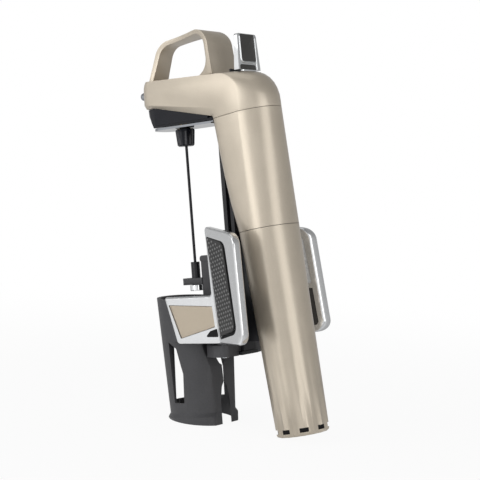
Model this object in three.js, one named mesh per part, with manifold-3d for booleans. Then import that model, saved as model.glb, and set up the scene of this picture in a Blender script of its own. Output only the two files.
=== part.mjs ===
// Wine preservation dispenser, in millimetres, +Z up, standing on its neck sleeve and its capsule cup.
// Every piece is drawn in the needle's frame: x across, y to the rear, z up along the needle, with
// zero on the needle's axis at the top of the needle guide. The whole is then leaned as it stands.
import * as THREE from 'three';
import { mergeVertices } from 'three/addons/utils/BufferGeometryUtils.js';
import Module from 'manifold-3d';

const wasm = await Module();
wasm.setup();

// Posture
const lean = THREE.MathUtils.degToRad(8.6);
const tubeTilt = THREE.MathUtils.degToRad(6.35);

// Clearances shared by many pieces
const seatGap = 0.3;
const runGap = 0.35;
const wireGap = 0.12;
const overrun = 4;

// Seat of the tube: the centre of the joint between the upper body and the cup
const seatY = 57.35;
const seatZ = 16.5;

// Upper body
const upperLength = 67.5;
const shellWall = 2.2;
const jointRadius = 17.35;
const shoulderHalfWidth = 16.3;
const shoulderShift = 3.35;
const shoulderBack = 16.35;
const shoulderFront = 21.5;

// Cup
const cupFootRadius = 15.1;
const cupFillet = 2.5;
const cupFloor = 3;
const fluteCount = 16;
const fluteDepth = 0.55;
const fluteRun = 62;
const notchWidth = 5.4;
const notchHeight = 2.5;
const notchDepth = 1.5;
const notchRise = 3.4;

// Head
const headTopFront = 109.3;
const headTopRear = 107.7;
const headEdgeDrop = 0.8;
const noseRoot = -11.4;
const noseReach = 10.9;
const edgeFront = 94.9;
const edgeRear = 88.5;
const soffitFront = 93.2;
const soffitRear = 84.2;
const throatY = 30.2;
const throatEdgeY = 32.2;
const edgeCornerY = 40.2;
const edgeCornerWidth = 12.4;
const edgeCornerHeight = 12.6;
const crownCornerY = 51;
const crownCornerWidth = 18.4;
const crownCornerHeight = 20.6;
const bayHalfWidth = 12.9;
const bayFront = -12.6;
const bayRear = 28.5;
const bayCeiling = 106.6;
const shaftBayRadius = 12.7;
const shaftBayY = 53.6;
const shaftBayTop = 92;
const triggerBayHalfWidth = 12;
const triggerBayRear = 54;
const triggerBayFloor = 88.2;
const triggerBayTop = 101.5;

// Underside cover and base plate
const coverBottom = 81.7;
const coverHalfWidth = 13;
const coverFootHalfWidth = 11.4;
const coverNoseRoot = -9;
const coverNoseReach = 13.3;
const coverRear = 31.4;
const coverFrontSlope = 6.9;
const coverRearHeight = 1.2;
const coverSpigotTop = 97.5;
const basePlateThickness = 1.3;
const basePlateInset = 0.7;
const basePlateReach = 11;

// Outlet and spout
const socketRadius = 4.8;
const socketBore = 3.5;
const socketTop = 94.4;
const outletHalfWidth = 5.2;
const outletRear = 7;
const outletHeight = 11.3;
const spoutZ = 102.9;
const spoutRadius = 2.6;
const spoutTipY = -32.1;
const spoutTail = -3.5;
const gasLineRadius = 1.5;
const gasLineZ = 97.4;

// Needle and its knob
const needleRadius = 0.85;
const needleTip = -8.5;
const knobTopRadius = 6;
const knobBottomRadius = 5.1;
const knobHeight = 10.2;
const knobBottom = 69.5;
const knobFlutes = 11;
const knobFluteDepth = 0.55;
const knobShankRadius = 3.2;
const knobShankTop = 92;

// Loop handle
const loopFrontFoot = -19.4;
const loopFrontShoulder = -11.2;
const loopFrontShoulderZ = 132.4;
const loopRearShoulder = 30;
const loopRearShoulderZ = 137;
const loopRearFoot = 33.4;
const loopFrontRadius = 12;
const loopRearRadius = 11;
const loopStrap = 2.5;
const loopTipHalfWidth = 7.7;
const loopWaistHalfWidth = 6.1;
const loopWaistFrontY = -11;
const loopWaistRearY = 7;
const loopWideY = 30;
const loopRearHalfWidth = 11.6;
const loopRootRadius = 9;
const loopRootFlare = 9.5;
const tenonDepth = 2.4;
const tenonInset = 0.6;

// Trigger
const triggerFront = 48.6;
const triggerThickness = 3.4;
const triggerTop = 129.3;
const triggerFootHalfWidth = 10.3;
const triggerTopHalfWidth = 8.8;
const triggerShankHalfWidth = 5.6;
const triggerTopRadius = 1.6;
const triggerPivotZ = 97.6;
const triggerPivotRadius = 2.9;
const triggerPinRadius = 1.1;
const triggerToeReach = 7;
const triggerToeDrop = 2.4;
const triggerToeHeight = 3;
const triggerSwing = 2.7;
const thumbPadWidth = 12.5;
const thumbPadHeight = 13.7;
const thumbPadDepth = 0.9;
const thumbPadTopMargin = 2.2;
const bootThickness = 2.6;
const bootLip = 1.6;
const bootMargin = 3.8;

// Valve
const valveBlockBottom = 84.6;
const valveBlockFront = 36;
const valveDeck = 94;
const earThickness = 3.2;
const earInner = 8.2;
const earFront = 46;
const stemRadius = 1.5;
const stemFlangeRadius = 2.2;
const stemFlangeHeight = 0.9;
const stemRise = 1;
const stemTravel = 1.4;
const valveBoreRadius = 2.5;
const valveSpringWire = 0.45;
const valveSpringTurns = 5;

// Regulator, inside the upper body and the mouth of the cup
const regulatorDrop = 7.5;
const regulatorRadius = 11.2;
const regulatorFlangeRadius = 14.5;
const regulatorFlangeHeight = 6;
const collarRadius = 14.1;
const collarLength = 21;
const collarThreadDepth = 0.7;
const collarThreads = 3;
const neckRecessRadius = 5;
const neckRecessDepth = 9;
const portRadius = 1;
const chamberRadius = 8;
const chamberFloor = 22;
const capThickness = 5;
const pistonHeight = 7;
const regulatorSpringWire = 1.1;
const regulatorSpringTurns = 6;
const pinFlangeRadius = 3;
const pinFlangeHeight = 1.2;
const pinRadius = 0.9;
const pinLength = 5;
const sealThickness = 1.5;

// Gas capsule
const capsuleRadius = 11;
const capsuleLength = 88;
const capsuleNeckRadius = 4.2;
const capsuleNeckLength = 9;
const capsuleShoulder = 11;
const capsuleWall = 1.6;
const padHeight = 13;
const padThickness = 12.14;

// Rail
const railFront = 29.1;
const railHalfWidth = 5.6;
const railFlange = 2.7;
const railGroove = 2.4;
const railWebHalfWidth = 3.2;
const railTop = 79.5;
const railBottom = -53.2;
const spineHalfWidth = 2.8;
const spineBottom = -48;
const railScrewUpper = 62;
const railScrewLower = 30;
const screwHeadRadius = 2.2;
const screwHeadHeight = 1.4;
const screwShankRadius = 1.2;
const screwReach = 1.6;
const stopHeight = 2;
const stopReach = 2;

// Carriage on the rail
const carriageTop = -20.3;
const carriageBottom = -55.7;
const carriageHalfWidth = 9.4;
const carriageRear = 34.5;
const topPlateHeight = 3.7;
const bottomPlateHeight = 7;
const bottomPlateStep = 2.6;
const bottomPlateInset = 0.7;
const shelfFront = 7.2;
const shelfHalfWidth = 8;
const bottomPlateFront = 15.4;
const footFrontRadius = 1.5;
const footSideRadius = 4;
const footRearRadius = 2;
const lobeRadius = 4.6;
const lobeX = 14;
const pivotY = 29;
const lobeHalfDepth = 4.6;
const neckRadius = 15.3;
const saddleFront = 10.6;
const saddleRear = 17;
const leverPinRadius = 2;
const pinHeadRadius = 3.1;
const pinHeadHeight = 1;

// Needle guide and its post
const postFront = 7.4;
const postDepth = 7.2;
const postHalfWidth = 3.6;
const postTop = 3.6;
const postCap = 3;
const postCapInset = 0.4;
const postCapFrontRadius = 1.8;
const postCapRearRadius = 1.2;
const postCapLowRadius = 0.6;
const armRadius = 2.6;
const armTop = -9.6;
const armThickness = 4;
const armHalfWidth = 4.2;
const armReach = 8.4;
const guideRadius = 2.65;
const guideBottom = -17;
const ferruleRadius = 4.1;
const ferruleHeight = 3.3;

// Levers: outer and inner lines in plan, at two heights, between which the plate is ruled
const leverHigh = 20;
const leverLow = -48;
const leverFrontX = 26;
const leverFrontY = -7;
const creaseHighX = 27.2;
const creaseHighY = 31;
const creaseLowX = 28.8;
const creaseLowY = 38;
const wingHighX = 40.2;
const wingHighY = 63.2;
const wingLowX = 45.1;
const wingLowY = 69.2;
const leverNoseRadius = 1.4;
const leverToeRadius = 2.6;
const leverStepRadius = 1.6;
const badgeRadius = 0.4;
const bladeThickness = 3;
const wingThickness = 6.4;
const wingRootLead = 6.5;
const leverTopZ = 20.3;
const leverShelfZ = -19.2;
const leverBottomZ = -46.8;
const leverNoseTopY = -4.2;
const leverNoseBottomY = 4.2;
const wingTopRearY = 62;
const wingTopDrop = 5.6;
const wingBottomRearY = 66.6;
const wingTopRearRadius = 8;
const wingBottomRearRadius = 6.5;
const innerBorder = 4.2;
const innerFloor = 3;
const innerRibZ = -19;
const innerRib = 2.4;
const recessDepth = 2;
const inlayRise = 0.4;
const padFrontTopY = 32.6;
const padFrontTopZ = 14.6;
const padRearTopY = 50.4;
const padRearTopZ = 10.6;
const padRearBottomY = 58.2;
const padRearBottomZ = -38.6;
const padFrontBottomY = 39.4;
const padFrontBottomZ = -42.6;
const padChannel = 1.6;
const padFrontRadius = 0.8;
const padRearTopRadius = 5.4;
const padRearBottomRadius = 4.4;
const plateFrontTopY = -0.6;
const plateFrontTopZ = -23.8;
const plateRearTopY = 33.6;
const plateRearTopZ = -25.2;
const plateRearBottomY = 35;
const plateRearBottomZ = -37.2;
const plateFrontBottomY = 7.6;
const plateFrontBottomZ = -43.6;
const cornerWindowDrop = 5.4;
const cornerWindowRun = 7;

// Neck sleeve: two jaws, each half of a tapered tube that is cut away in windows
const sleeveY = -2.5;
const sleeveTop = -19.6;
const sleeveRearTop = -21.9;
const sleeveSlopeFront = -25;
const sleeveSlopeRear = 0;
const ledgeTop = -44.6;
const ledgeBottom = -48.5;
const ledgeRadius = 16.8;
const footInnerRadius = 18.3;
const sleeveTopRadius = 22.7;
const sleeveTaperShare = 0.0462;
const sleeveWall = 2.3;
const rimFlare = 1.5;
const rimHeight = 4.2;
const rimLipHeight = 2;
const bandBottom = -46;
const windowBottom = -82.5;
const splitGap = 0.8;
const splitAngle = -90;
const frontWindowAngle = -66;
const strutRearY = -7.8;
const windowTop = -46;
const panelTopY = -1.8;
const panelTopZ = -50;
const panelWaistY = 1.3;
const panelWaistZ = -65;
const panelFootY = 0.2;
const panelFootZ = -80;
const panelRearTopY = 12.4;
const panelRearTopZ = -46;
const panelRearMiddleY = 14.9;
const panelRearMiddleZ = -62;
const panelRearFootY = 15.3;
const panelRearFootZ = -70;
const windowRadius = 1;
const hubRadius = 4.1;
const hubTop = -30.4;
const armFront = -2;
const armRear = 33;
const armUnder = -45.6;
const armInnerX = 10.2;
const gripLinerRadius = 15.6;
const gripLinerTop = -22.6;
const gripLinerBottom = -44;
const gripLinerStartAngle = -80;
const gripLinerEndAngle = 38;
const leverSpringWire = 0.8;
const leverSpringRadius = 3.3;
const leverSpringTurns = 4;
const leverSpringLeg = 5;

// Shares and counts that carry no length
const bulgeShare = 0.95;
const noseExponent = 2.6;
const shoulderExponent = 6;
const flatSideShare = 0.995;
const chamferShare = 0.17;
const throatSteps = 3;
const flutePoints = 3;
const knobPoints = 4;
const loopPlanSteps = 20;
const bodyPoints = 48;
const roundSegments = 32;
const innerSegments = 24;
const sleeveSegments = 48;
const ringSegments = 20;
const boltSegments = 14;

// Derived levels of the tube: the top of the regulator, the foot of its recess, and the capsule between it and the pad
const regulatorTop = upperLength - regulatorDrop;
const recessTop = neckRecessDepth - collarLength;
const capsuleTop = recessTop - wireGap * 3 - pinFlangeHeight - sealThickness;
const cupLength = capsuleLength - capsuleTop + seatGap * 2 + padThickness + cupFloor;

// A closed body of manifold-3d made from a three.js geometry
function solid(geometry) {
  const bare = geometry.clone();
  bare.deleteAttribute('normal');
  bare.deleteAttribute('uv');
  const welded = mergeVertices(bare);
  const source = welded.index.array;
  const corners = [];
  for (let i = 0; i < source.length; i += 3) {
    const [a, b, c] = source.slice(i, i + 3);
    if (a !== b && b !== c && c !== a) corners.push(a, b, c);
  }
  const build = (triVerts) => new wasm.Manifold(
    new wasm.Mesh({ numProp: 3, vertProperties: welded.attributes.position.array, triVerts }),
  );
  const made = build(new Uint32Array(corners));
  return made.volume() < 0 ? build(new Uint32Array(corners.reverse())) : made;
}

const join = (first, ...rest) => rest.reduce((sum, next) => sum.add(next), first);
const cut = (first, ...rest) => rest.reduce((left, next) => left.subtract(next), first);
const lerp = THREE.MathUtils.lerp;
const degrees = THREE.MathUtils.degToRad;
const half = 0.5;

// Box between two corners
function block([x0, x1], [y0, y1], [z0, z1]) {
  const box = new THREE.BoxGeometry(x1 - x0, y1 - y0, z1 - z0);
  box.translate(lerp(x0, x1, half), lerp(y0, y1, half), lerp(z0, z1, half));
  return solid(box);
}

// Outline of corners, each with its own radius, as a shape with true arcs
function rounded(corners) {
  const shape = new THREE.Shape();
  corners.forEach(([x, y, radius = 0], i) => {
    const corner = new THREE.Vector2(x, y);
    const towards = ([u, v]) => new THREE.Vector2(u, v).sub(corner).normalize();
    const before = towards(corners.at(i - 1));
    const after = towards(corners[(i + 1) % corners.length]);
    const halfAngle = Math.acos(THREE.MathUtils.clamp(before.dot(after), -1, 1)) / 2;
    const start = corner.clone().addScaledVector(before, radius / Math.tan(halfAngle));
    const end = corner.clone().addScaledVector(after, radius / Math.tan(halfAngle));
    if (i === 0) shape.moveTo(start.x, start.y);
    else shape.lineTo(start.x, start.y);
    if (radius === 0) return;
    const inward = before.clone().add(after).normalize();
    const centre = corner.clone().addScaledVector(inward, radius / Math.sin(halfAngle));
    const from = start.sub(centre).angle();
    const to = end.sub(centre).angle();
    shape.absarc(centre.x, centre.y, radius, from, to, before.cross(after) > 0);
  });
  shape.closePath();
  return shape;
}

// Outline in plan, extruded upwards
function prism(shape, bottom, top, curveSegments = 6) {
  const geometry = new THREE.ExtrudeGeometry(shape, { depth: top - bottom, bevelEnabled: false, curveSegments });
  return solid(geometry.translate(0, 0, bottom));
}

// Outline in side view, whose points are (y, z), extruded across
function sidePrism(shape, left, right, curveSegments = 6) {
  const geometry = new THREE.ExtrudeGeometry(shape, { depth: right - left, bevelEnabled: false, curveSegments });
  const across = new THREE.Matrix4().makeBasis(
    new THREE.Vector3(0, 1, 0), new THREE.Vector3(0, 0, 1), new THREE.Vector3(1, 0, 0),
  );
  return solid(geometry.applyMatrix4(across).translate(left, 0, 0));
}

// Round bar standing along z, and round bar lying along x
function bar(radius, x, y, bottom, top, segments = boltSegments) {
  const geometry = new THREE.CylinderGeometry(radius, radius, top - bottom, segments);
  return solid(geometry.rotateX(Math.PI / 2).translate(x, y, lerp(bottom, top, half)));
}

function crossBar(radius, y, z, left, right, segments = boltSegments) {
  const geometry = new THREE.CylinderGeometry(radius, radius, right - left, segments);
  return solid(geometry.rotateZ(Math.PI / 2).translate(lerp(left, right, half), y, z));
}

function lengthBar(radius, x, z, front, rear, segments = boltSegments) {
  const geometry = new THREE.CylinderGeometry(radius, radius, rear - front, segments);
  return solid(geometry.translate(x, lerp(front, rear, half), z));
}

// Turned piece, from (radius, height) points; a ring closes on itself
function turned(points, segments = roundSegments, ring = false) {
  const profile = points.map(([radius, height]) => new THREE.Vector2(radius, height));
  if (ring) profile.push(profile[0].clone());
  return solid(new THREE.LatheGeometry(profile, segments).rotateX(Math.PI / 2));
}

// Skin over a row of rings with equal numbers of points, capped at both ends
function loft(rings, flat) {
  const count = rings[0].length;
  const positions = rings.flat().flatMap((point) => [point.x, point.y, point.z]);
  const index = [];
  for (let ring = 0; ring < rings.length - 1; ring += 1) {
    for (let i = 0; i < count; i += 1) {
      const a = ring * count + i;
      const b = ring * count + ((i + 1) % count);
      index.push(a, b, b + count, a, b + count, a + count);
    }
  }
  const last = (rings.length - 1) * count;
  const first = rings[0].map(flat);
  const sense = THREE.ShapeUtils.isClockWise(first) ? 1 : -1;
  const capOf = (ring) => THREE.ShapeUtils.triangulateShape(ring.map(flat), []);
  for (const [a, b, c] of capOf(rings[0])) index.push(...(sense > 0 ? [a, b, c] : [a, c, b]));
  for (const [a, b, c] of capOf(rings.at(-1))) {
    index.push(...(sense > 0 ? [last + a, last + c, last + b] : [last + a, last + b, last + c]));
  }
  const geometry = new THREE.BufferGeometry();
  geometry.setAttribute('position', new THREE.Float32BufferAttribute(positions, 3));
  geometry.setIndex(index);
  return solid(geometry);
}

const seenFromAbove = (point) => new THREE.Vector2(point.x, point.y);
const seenFromSide = (point) => new THREE.Vector2(point.y, point.z);

// Mirror image across the middle plane
function mirrored(body) {
  const mesh = body.getMesh();
  const geometry = new THREE.BufferGeometry();
  geometry.setAttribute('position', new THREE.BufferAttribute(mesh.vertProperties.slice(), 3));
  geometry.setIndex(new THREE.BufferAttribute(mesh.triVerts.slice().reverse(), 1));
  return solid(geometry.scale(-1, 1, 1));
}

// Coil of wire as one unbroken tube
class Coil extends THREE.Curve {
  constructor(radius, bottom, top, turns) {
    super();
    Object.assign(this, { radius, bottom, top, turns });
  }

  getPoint(t, target = new THREE.Vector3()) {
    const angle = t * this.turns * Math.PI * 2;
    const height = lerp(this.bottom, this.top, t);
    return target.set(this.radius * Math.cos(angle), this.radius * Math.sin(angle), height);
  }
}

function coil(radius, wire, bottom, top, turns, stepsPerTurn = 9) {
  const section = new THREE.Shape().absarc(0, 0, wire / 2, 0, Math.PI * 2);
  const geometry = new THREE.ExtrudeGeometry(section, {
    steps: turns * stepsPerTurn,
    extrudePath: new Coil(radius, bottom, top, turns),
    curveSegments: 3,
  });
  return geometry;
}

// The tube's own frame: t runs up its axis from the joint, v to the rear
const onTube = (geometry) => geometry.rotateX(tubeTilt).translate(0, seatY, seatZ);
const tubeY = (v, t) => seatY + v * Math.cos(tubeTilt) - t * Math.sin(tubeTilt);
const tubeZ = (v, t) => seatZ + v * Math.sin(tubeTilt) + t * Math.cos(tubeTilt);

// Share of the back's swell, and share of the front's depth, at a share of the half-width
function bulge(share) {
  const edge = Math.sqrt(1 - bulgeShare ** 2);
  const here = Math.sqrt(1 - (bulgeShare * share) ** 2);
  return (here - edge) / (1 - edge);
}
const superellipse = (share, exponent) => (1 - Math.abs(share) ** exponent) ** (1 / exponent);

// Upper body: a flat-sided shoulder above that turns into a round joint below
function bodyRing(t, wall, points = bodyPoints) {
  const blend = THREE.MathUtils.clamp(t / upperLength, 0, 1);
  const exponent = lerp(2, shoulderExponent, blend);
  const halfWidth = lerp(jointRadius, shoulderHalfWidth, blend) - wall;
  const back = lerp(jointRadius, shoulderBack, blend) - wall;
  const front = lerp(jointRadius, shoulderFront, blend) - wall;
  const shift = lerp(0, shoulderShift, blend);
  return Array.from({ length: points }, (_, i) => {
    const angle = (i / points) * Math.PI * 2;
    const across = Math.cos(angle);
    const along = Math.sin(angle);
    if (along >= 0) {
      const round = lerp(along, bulge(across), blend);
      return new THREE.Vector3(halfWidth * across, shift + back * round, t);
    }
    const power = 2 / exponent;
    const x = Math.sign(across) * Math.abs(across) ** power;
    return new THREE.Vector3(halfWidth * x, shift - front * Math.abs(along) ** power, t);
  });
}

function bodySkin(bottom, top, wall, steps = 4) {
  const rings = Array.from({ length: steps + 1 }, (_, i) => bodyRing(lerp(bottom, top, i / steps), wall));
  return loft(rings, seenFromAbove);
}

function makeUpperBody() {
  const screws = [railScrewUpper, railScrewLower].map((z) => {
    const hole = new THREE.CylinderGeometry(1, 1, 1, boltSegments);
    const reach = jointRadius;
    hole.scale(screwShankRadius + wireGap, reach, screwShankRadius + wireGap);
    return solid(hole.translate(0, tubeY(-jointRadius, 0), z));
  });
  const outer = geometryOf(bodySkin(seatGap / 2, upperLength - seatGap / 2, 0));
  const inner = geometryOf(bodySkin(-overrun, upperLength + overrun, shellWall));
  return cut(solid(onTube(outer)), solid(onTube(inner)), ...screws);
}

function geometryOf(body) {
  const mesh = body.getMesh();
  const geometry = new THREE.BufferGeometry();
  geometry.setAttribute('position', new THREE.BufferAttribute(mesh.vertProperties.slice(), 3));
  geometry.setIndex(new THREE.BufferAttribute(mesh.triVerts.slice(), 1));
  return geometry;
}
const placedOnTube = (body) => solid(onTube(geometryOf(body)));

// Cup: tapered, with shallow flutes that grow towards the foot, and notches in every second one
const cupRadius = (t) => lerp(jointRadius, cupFootRadius, -t / cupLength);
const fluteStart = fluteRun - cupLength;

function cupRing(t, radius, points) {
  const depth = fluteDepth * THREE.MathUtils.smoothstep(-t, -fluteStart, cupLength - notchRise);
  return Array.from({ length: points }, (_, i) => {
    const angle = (i / points) * Math.PI * 2 - Math.PI / 2;
    const hollow = Math.abs(Math.sin((angle + Math.PI / 2) * fluteCount * half));
    const r = radius - depth * hollow;
    return new THREE.Vector3(r * Math.cos(angle), r * Math.sin(angle), t);
  });
}

function makeCup() {
  const points = fluteCount * flutePoints;
  const straight = 5;
  const foot = -cupLength;
  const rings = [];
  for (let i = 0; i <= straight; i += 1) {
    const t = lerp(-seatGap / 2, foot + cupFillet, i / straight);
    rings.push(cupRing(t, cupRadius(t), points));
  }
  const filletSteps = 3;
  for (let i = 1; i <= filletSteps; i += 1) {
    const turn = (i / filletSteps) * Math.PI / 2;
    const t = foot + cupFillet - cupFillet * Math.sin(turn);
    const radius = cupRadius(t) - cupFillet * (1 - Math.cos(turn));
    rings.push(cupRing(t, radius, points));
  }
  const outer = loft(rings, seenFromAbove);
  const floor = foot + cupFloor;
  const inner = turned([
    [0, floor],
    [cupRadius(floor) - shellWall, floor],
    [jointRadius - shellWall, overrun],
    [0, overrun],
  ], innerSegments);
  const notches = Array.from({ length: fluteCount / 2 }, (_, i) => {
    const box = new THREE.BoxGeometry(notchWidth, notchDepth * 2, notchHeight);
    box.translate(0, -cupRadius(foot), foot + notchRise + notchHeight / 2);
    return solid(box.rotateZ(((i * 2 + 1) / fluteCount) * Math.PI * 2));
  });
  return placedOnTube(cut(outer, inner, ...notches));
}

// Height of the cup's lowest point below the needle's zero, once the whole leans
const tilt = lean + tubeTilt;
const filletDrop = (cupFootRadius - cupFillet) * Math.sin(tilt) + (cupLength - cupFillet) * Math.cos(tilt) + cupFillet;
const floorDrop = filletDrop - seatY * Math.sin(lean) - seatZ * Math.cos(lean);

// Head: side outlines drawn at a row of widths and skinned across
const noseShares = [[0, 0.7], [0.08, 0.85], [0.2, 0.95], [0.4, 1], [0.85, 1], [1, 0.8]];
const noseTopY = noseRoot - noseReach * noseShares[0][1];
const headTopAt = (y) => lerp(headTopFront, headTopRear, (y - noseTopY) / (crownCornerY - noseTopY));

function headOutline(share) {
  const swell = bulge(share);
  const nose = superellipse(share, noseExponent);
  const inner = THREE.MathUtils.clamp((1 - Math.abs(share)) / chamferShare, 0, 1);
  const seam = upperLength + seatGap / 2;
  const backV = shoulderShift + shoulderBack * swell;
  const frontV = shoulderShift - shoulderFront * superellipse(share, shoulderExponent);
  const points = [[tubeY(backV, seam), tubeZ(backV, seam)]];
  const cornerSteps = 7;
  const cornerY = lerp(edgeCornerY, crownCornerY, swell);
  const cornerWidth = lerp(edgeCornerWidth, crownCornerWidth, swell);
  const cornerHeight = lerp(edgeCornerHeight, crownCornerHeight, swell);
  const cornerTop = headTopAt(cornerY) - headEdgeDrop * (1 - swell);
  for (let i = 0; i <= cornerSteps; i += 1) {
    const angle = (i / cornerSteps) * Math.PI / 2;
    points.push([
      cornerY + cornerWidth * Math.cos(angle),
      cornerTop - cornerHeight + cornerHeight * Math.sin(angle),
    ]);
  }
  const under = lerp(edgeFront, soffitFront, inner);
  for (const [heightShare, reachShare] of noseShares) {
    points.push([noseRoot - noseReach * reachShare * nose, lerp(headTopFront, under, heightShare)]);
  }
  points.push([noseRoot, under]);
  const throat = [lerp(throatEdgeY, throatY, inner), lerp(edgeRear, soffitRear, inner)];
  const front = [tubeY(frontV, seam), tubeZ(frontV, seam)];
  const corner = [tubeY(frontV, seam + (throat[1] - front[1]) / Math.cos(tubeTilt)), throat[1]];
  const bend = new THREE.QuadraticBezierCurve(...[throat, corner, front].map(([y, z]) => new THREE.Vector2(y, z)));
  points.push(...bend.getPoints(throatSteps).map(({ x, y }) => [x, y]));
  return points;
}

function makeHead() {
  const shares = [flatSideShare, 0.965, 0.9, 0.81, 0.68, 0.5, 0.28, 0];
  const stations = [...shares.map((share) => -share), ...shares.slice(0, -1).reverse()];
  const rings = stations.map((share) => headOutline(share).map(
    ([y, z]) => new THREE.Vector3(share * shoulderHalfWidth, y, z),
  ));
  const bayWidth = [-bayHalfWidth, bayHalfWidth];
  const triggerWidth = [-triggerBayHalfWidth, triggerBayHalfWidth];
  const bay = block(bayWidth, [bayFront, bayRear], [coverBottom, bayCeiling]);
  const passage = block(triggerWidth, [bayRear - overrun, triggerBayRear], [triggerBayFloor, triggerBayTop]);
  const shaftBay = bar(shaftBayRadius, 0, shaftBayY, coverBottom - overrun * 2, shaftBayTop, roundSegments);
  const slotWidth = triggerFootHalfWidth + runGap;
  const slotRear = triggerFront + triggerThickness + runGap;
  const slot = block([-slotWidth, slotWidth], [triggerFront - bootMargin, slotRear], [triggerBayTop - overrun, headTopFront + overrun]);
  const spoutHole = lengthBar(spoutRadius + seatGap, 0, spoutZ, spoutTipY, 0);
  const mortises = tenons().map(([y0, y1, halfWidth]) => block(
    [-halfWidth - seatGap, halfWidth + seatGap],
    [y0 - seatGap, y1 + seatGap],
    [headTopAt(y0) - tenonDepth - seatGap, headTopFront + overrun],
  ));
  return cut(loft(rings, seenFromSide), bay, passage, shaftBay, slot, spoutHole, ...mortises);
}

// Loop handle: a strap that narrows to the front, with two tenons let into the head
function tenons() {
  const frontY = loopFrontFoot + tenonInset;
  const rearY = loopRearFoot - loopStrap;
  return [
    [frontY, frontY + loopStrap, loopWaistHalfWidth - tenonInset * 2],
    [rearY - loopStrap, rearY + loopStrap - tenonInset, loopRearHalfWidth - tenonInset * 2],
  ];
}

function makeLoop() {
  const footAt = (y) => headTopAt(y) + seatGap * half;
  const outer = rounded([
    [loopFrontFoot, footAt(loopFrontFoot)],
    [loopFrontShoulder, loopFrontShoulderZ, loopFrontRadius],
    [loopRearShoulder, loopRearShoulderZ, loopRearRadius],
    [loopRearFoot, footAt(loopRearFoot)],
  ]);
  const inset = loopStrap;
  const flareY = loopRearFoot - inset - loopRootFlare;
  const inner = rounded([
    [loopFrontFoot + inset, footAt(loopRearFoot) - overrun],
    [loopFrontFoot + inset, footAt(loopFrontFoot)],
    [loopFrontShoulder + inset, loopFrontShoulderZ - inset, loopFrontRadius - inset],
    [loopRearShoulder - inset, loopRearShoulderZ - inset, loopRearRadius - inset],
    [loopRearFoot - inset - inset * half, footAt(loopRearFoot) + loopRootRadius * half, loopRootRadius],
    [flareY, footAt(flareY)],
    [flareY, footAt(loopRearFoot) - overrun],
  ]);
  const wide = loopRearHalfWidth + overrun;
  const strap = cut(sidePrism(outer, -wide, wide, 10), sidePrism(inner, -wide - overrun, wide + overrun, 8));
  const edge = new THREE.SplineCurve([
    [loopFrontFoot - overrun, loopTipHalfWidth],
    [loopFrontFoot, loopTipHalfWidth],
    [loopWaistFrontY, loopWaistHalfWidth],
    [loopWaistRearY, loopWaistHalfWidth],
    [loopWideY, loopRearHalfWidth],
    [loopRearFoot + overrun, loopRearHalfWidth],
  ].map(([y, x]) => new THREE.Vector2(x, y))).getPoints(loopPlanSteps);
  const plan = new THREE.Shape([...edge, ...edge.map(({ x, y }) => new THREE.Vector2(-x, y)).reverse()]);
  const tapered = strap.intersect(prism(plan, footAt(loopRearFoot) - overrun, loopRearShoulderZ + overrun));
  const pegs = tenons().map(([y0, y1, halfWidth]) => block(
    [-halfWidth, halfWidth], [y0, y1], [headTopAt(y0) - tenonDepth, footAt(y0) + tenonInset],
  ));
  return join(tapered, ...pegs);
}

// Underside cover: a tapered black moulding under the head, with a spigot inside it
function coverPlan(inset, halfWidth, noseLength) {
  const steps = 14;
  const shape = new THREE.Shape();
  shape.moveTo(halfWidth - inset, coverRear - inset);
  for (let i = 0; i <= steps; i += 1) {
    const angle = (i / steps) * Math.PI;
    const share = Math.cos(angle);
    const reach = noseLength * superellipse(share, noseExponent);
    shape.lineTo((halfWidth - inset) * share, coverNoseRoot + inset - reach);
  }
  shape.lineTo(-(halfWidth - inset), coverRear - inset);
  shape.closePath();
  return shape;
}

function makeCover() {
  const slope = (soffitFront - soffitRear) / (throatY - noseRoot);
  const front = coverNoseRoot - coverNoseReach;
  const soffitAt = (y) => soffitFront - slope * Math.max(y - noseRoot, 0) - seatGap;
  const side = new THREE.Shape();
  side.moveTo(front, soffitAt(front));
  side.quadraticCurveTo(front + coverFrontSlope * 0.55, lerp(soffitAt(front), coverBottom, 0.3), front + coverFrontSlope, coverBottom);
  side.lineTo(coverRear, coverBottom);
  side.lineTo(coverRear, coverBottom + coverRearHeight);
  side.lineTo(throatY, soffitAt(throatY) - seatGap * 2);
  side.lineTo(noseRoot, soffitAt(noseRoot));
  side.closePath();
  const wide = coverHalfWidth + overrun;
  const high = soffitAt(front);
  const taper = (high - coverBottom) / (coverHalfWidth - coverFootHalfWidth);
  const ring = (z) => {
    const halfWidth = coverFootHalfWidth + (z - coverBottom) / taper;
    return coverPlan(0, halfWidth, coverNoseReach).getPoints(1).map(({ x, y }) => new THREE.Vector3(x, y, z));
  };
  const body = sidePrism(side, -wide, wide).intersect(
    loft([ring(coverBottom - overrun), ring(high + overrun)], seenFromAbove),
  );
  const spigotWidth = bayHalfWidth - seatGap;
  const spigot = block(
    [-spigotWidth, spigotWidth],
    [bayFront + seatGap, bayRear - seatGap],
    [coverBottom + basePlateThickness, coverSpigotTop],
  );
  const hollow = block(
    [-outletHalfWidth - runGap, outletHalfWidth + runGap],
    [-outletRear - runGap, bayRear - seatGap - shellWall],
    [socketTop + seatGap, coverSpigotTop + overrun],
  );
  const bore = bar(socketRadius + seatGap, 0, 0, coverBottom - overrun, coverSpigotTop + overrun, roundSegments);
  const linePassage = block(
    [-gasLineRadius - runGap, gasLineRadius + runGap],
    [0, bayRear + overrun],
    [gasLineZ - gasLineRadius - runGap, coverSpigotTop + overrun],
  );
  return cut(join(body, spigot), hollow, bore, linePassage);
}

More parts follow.
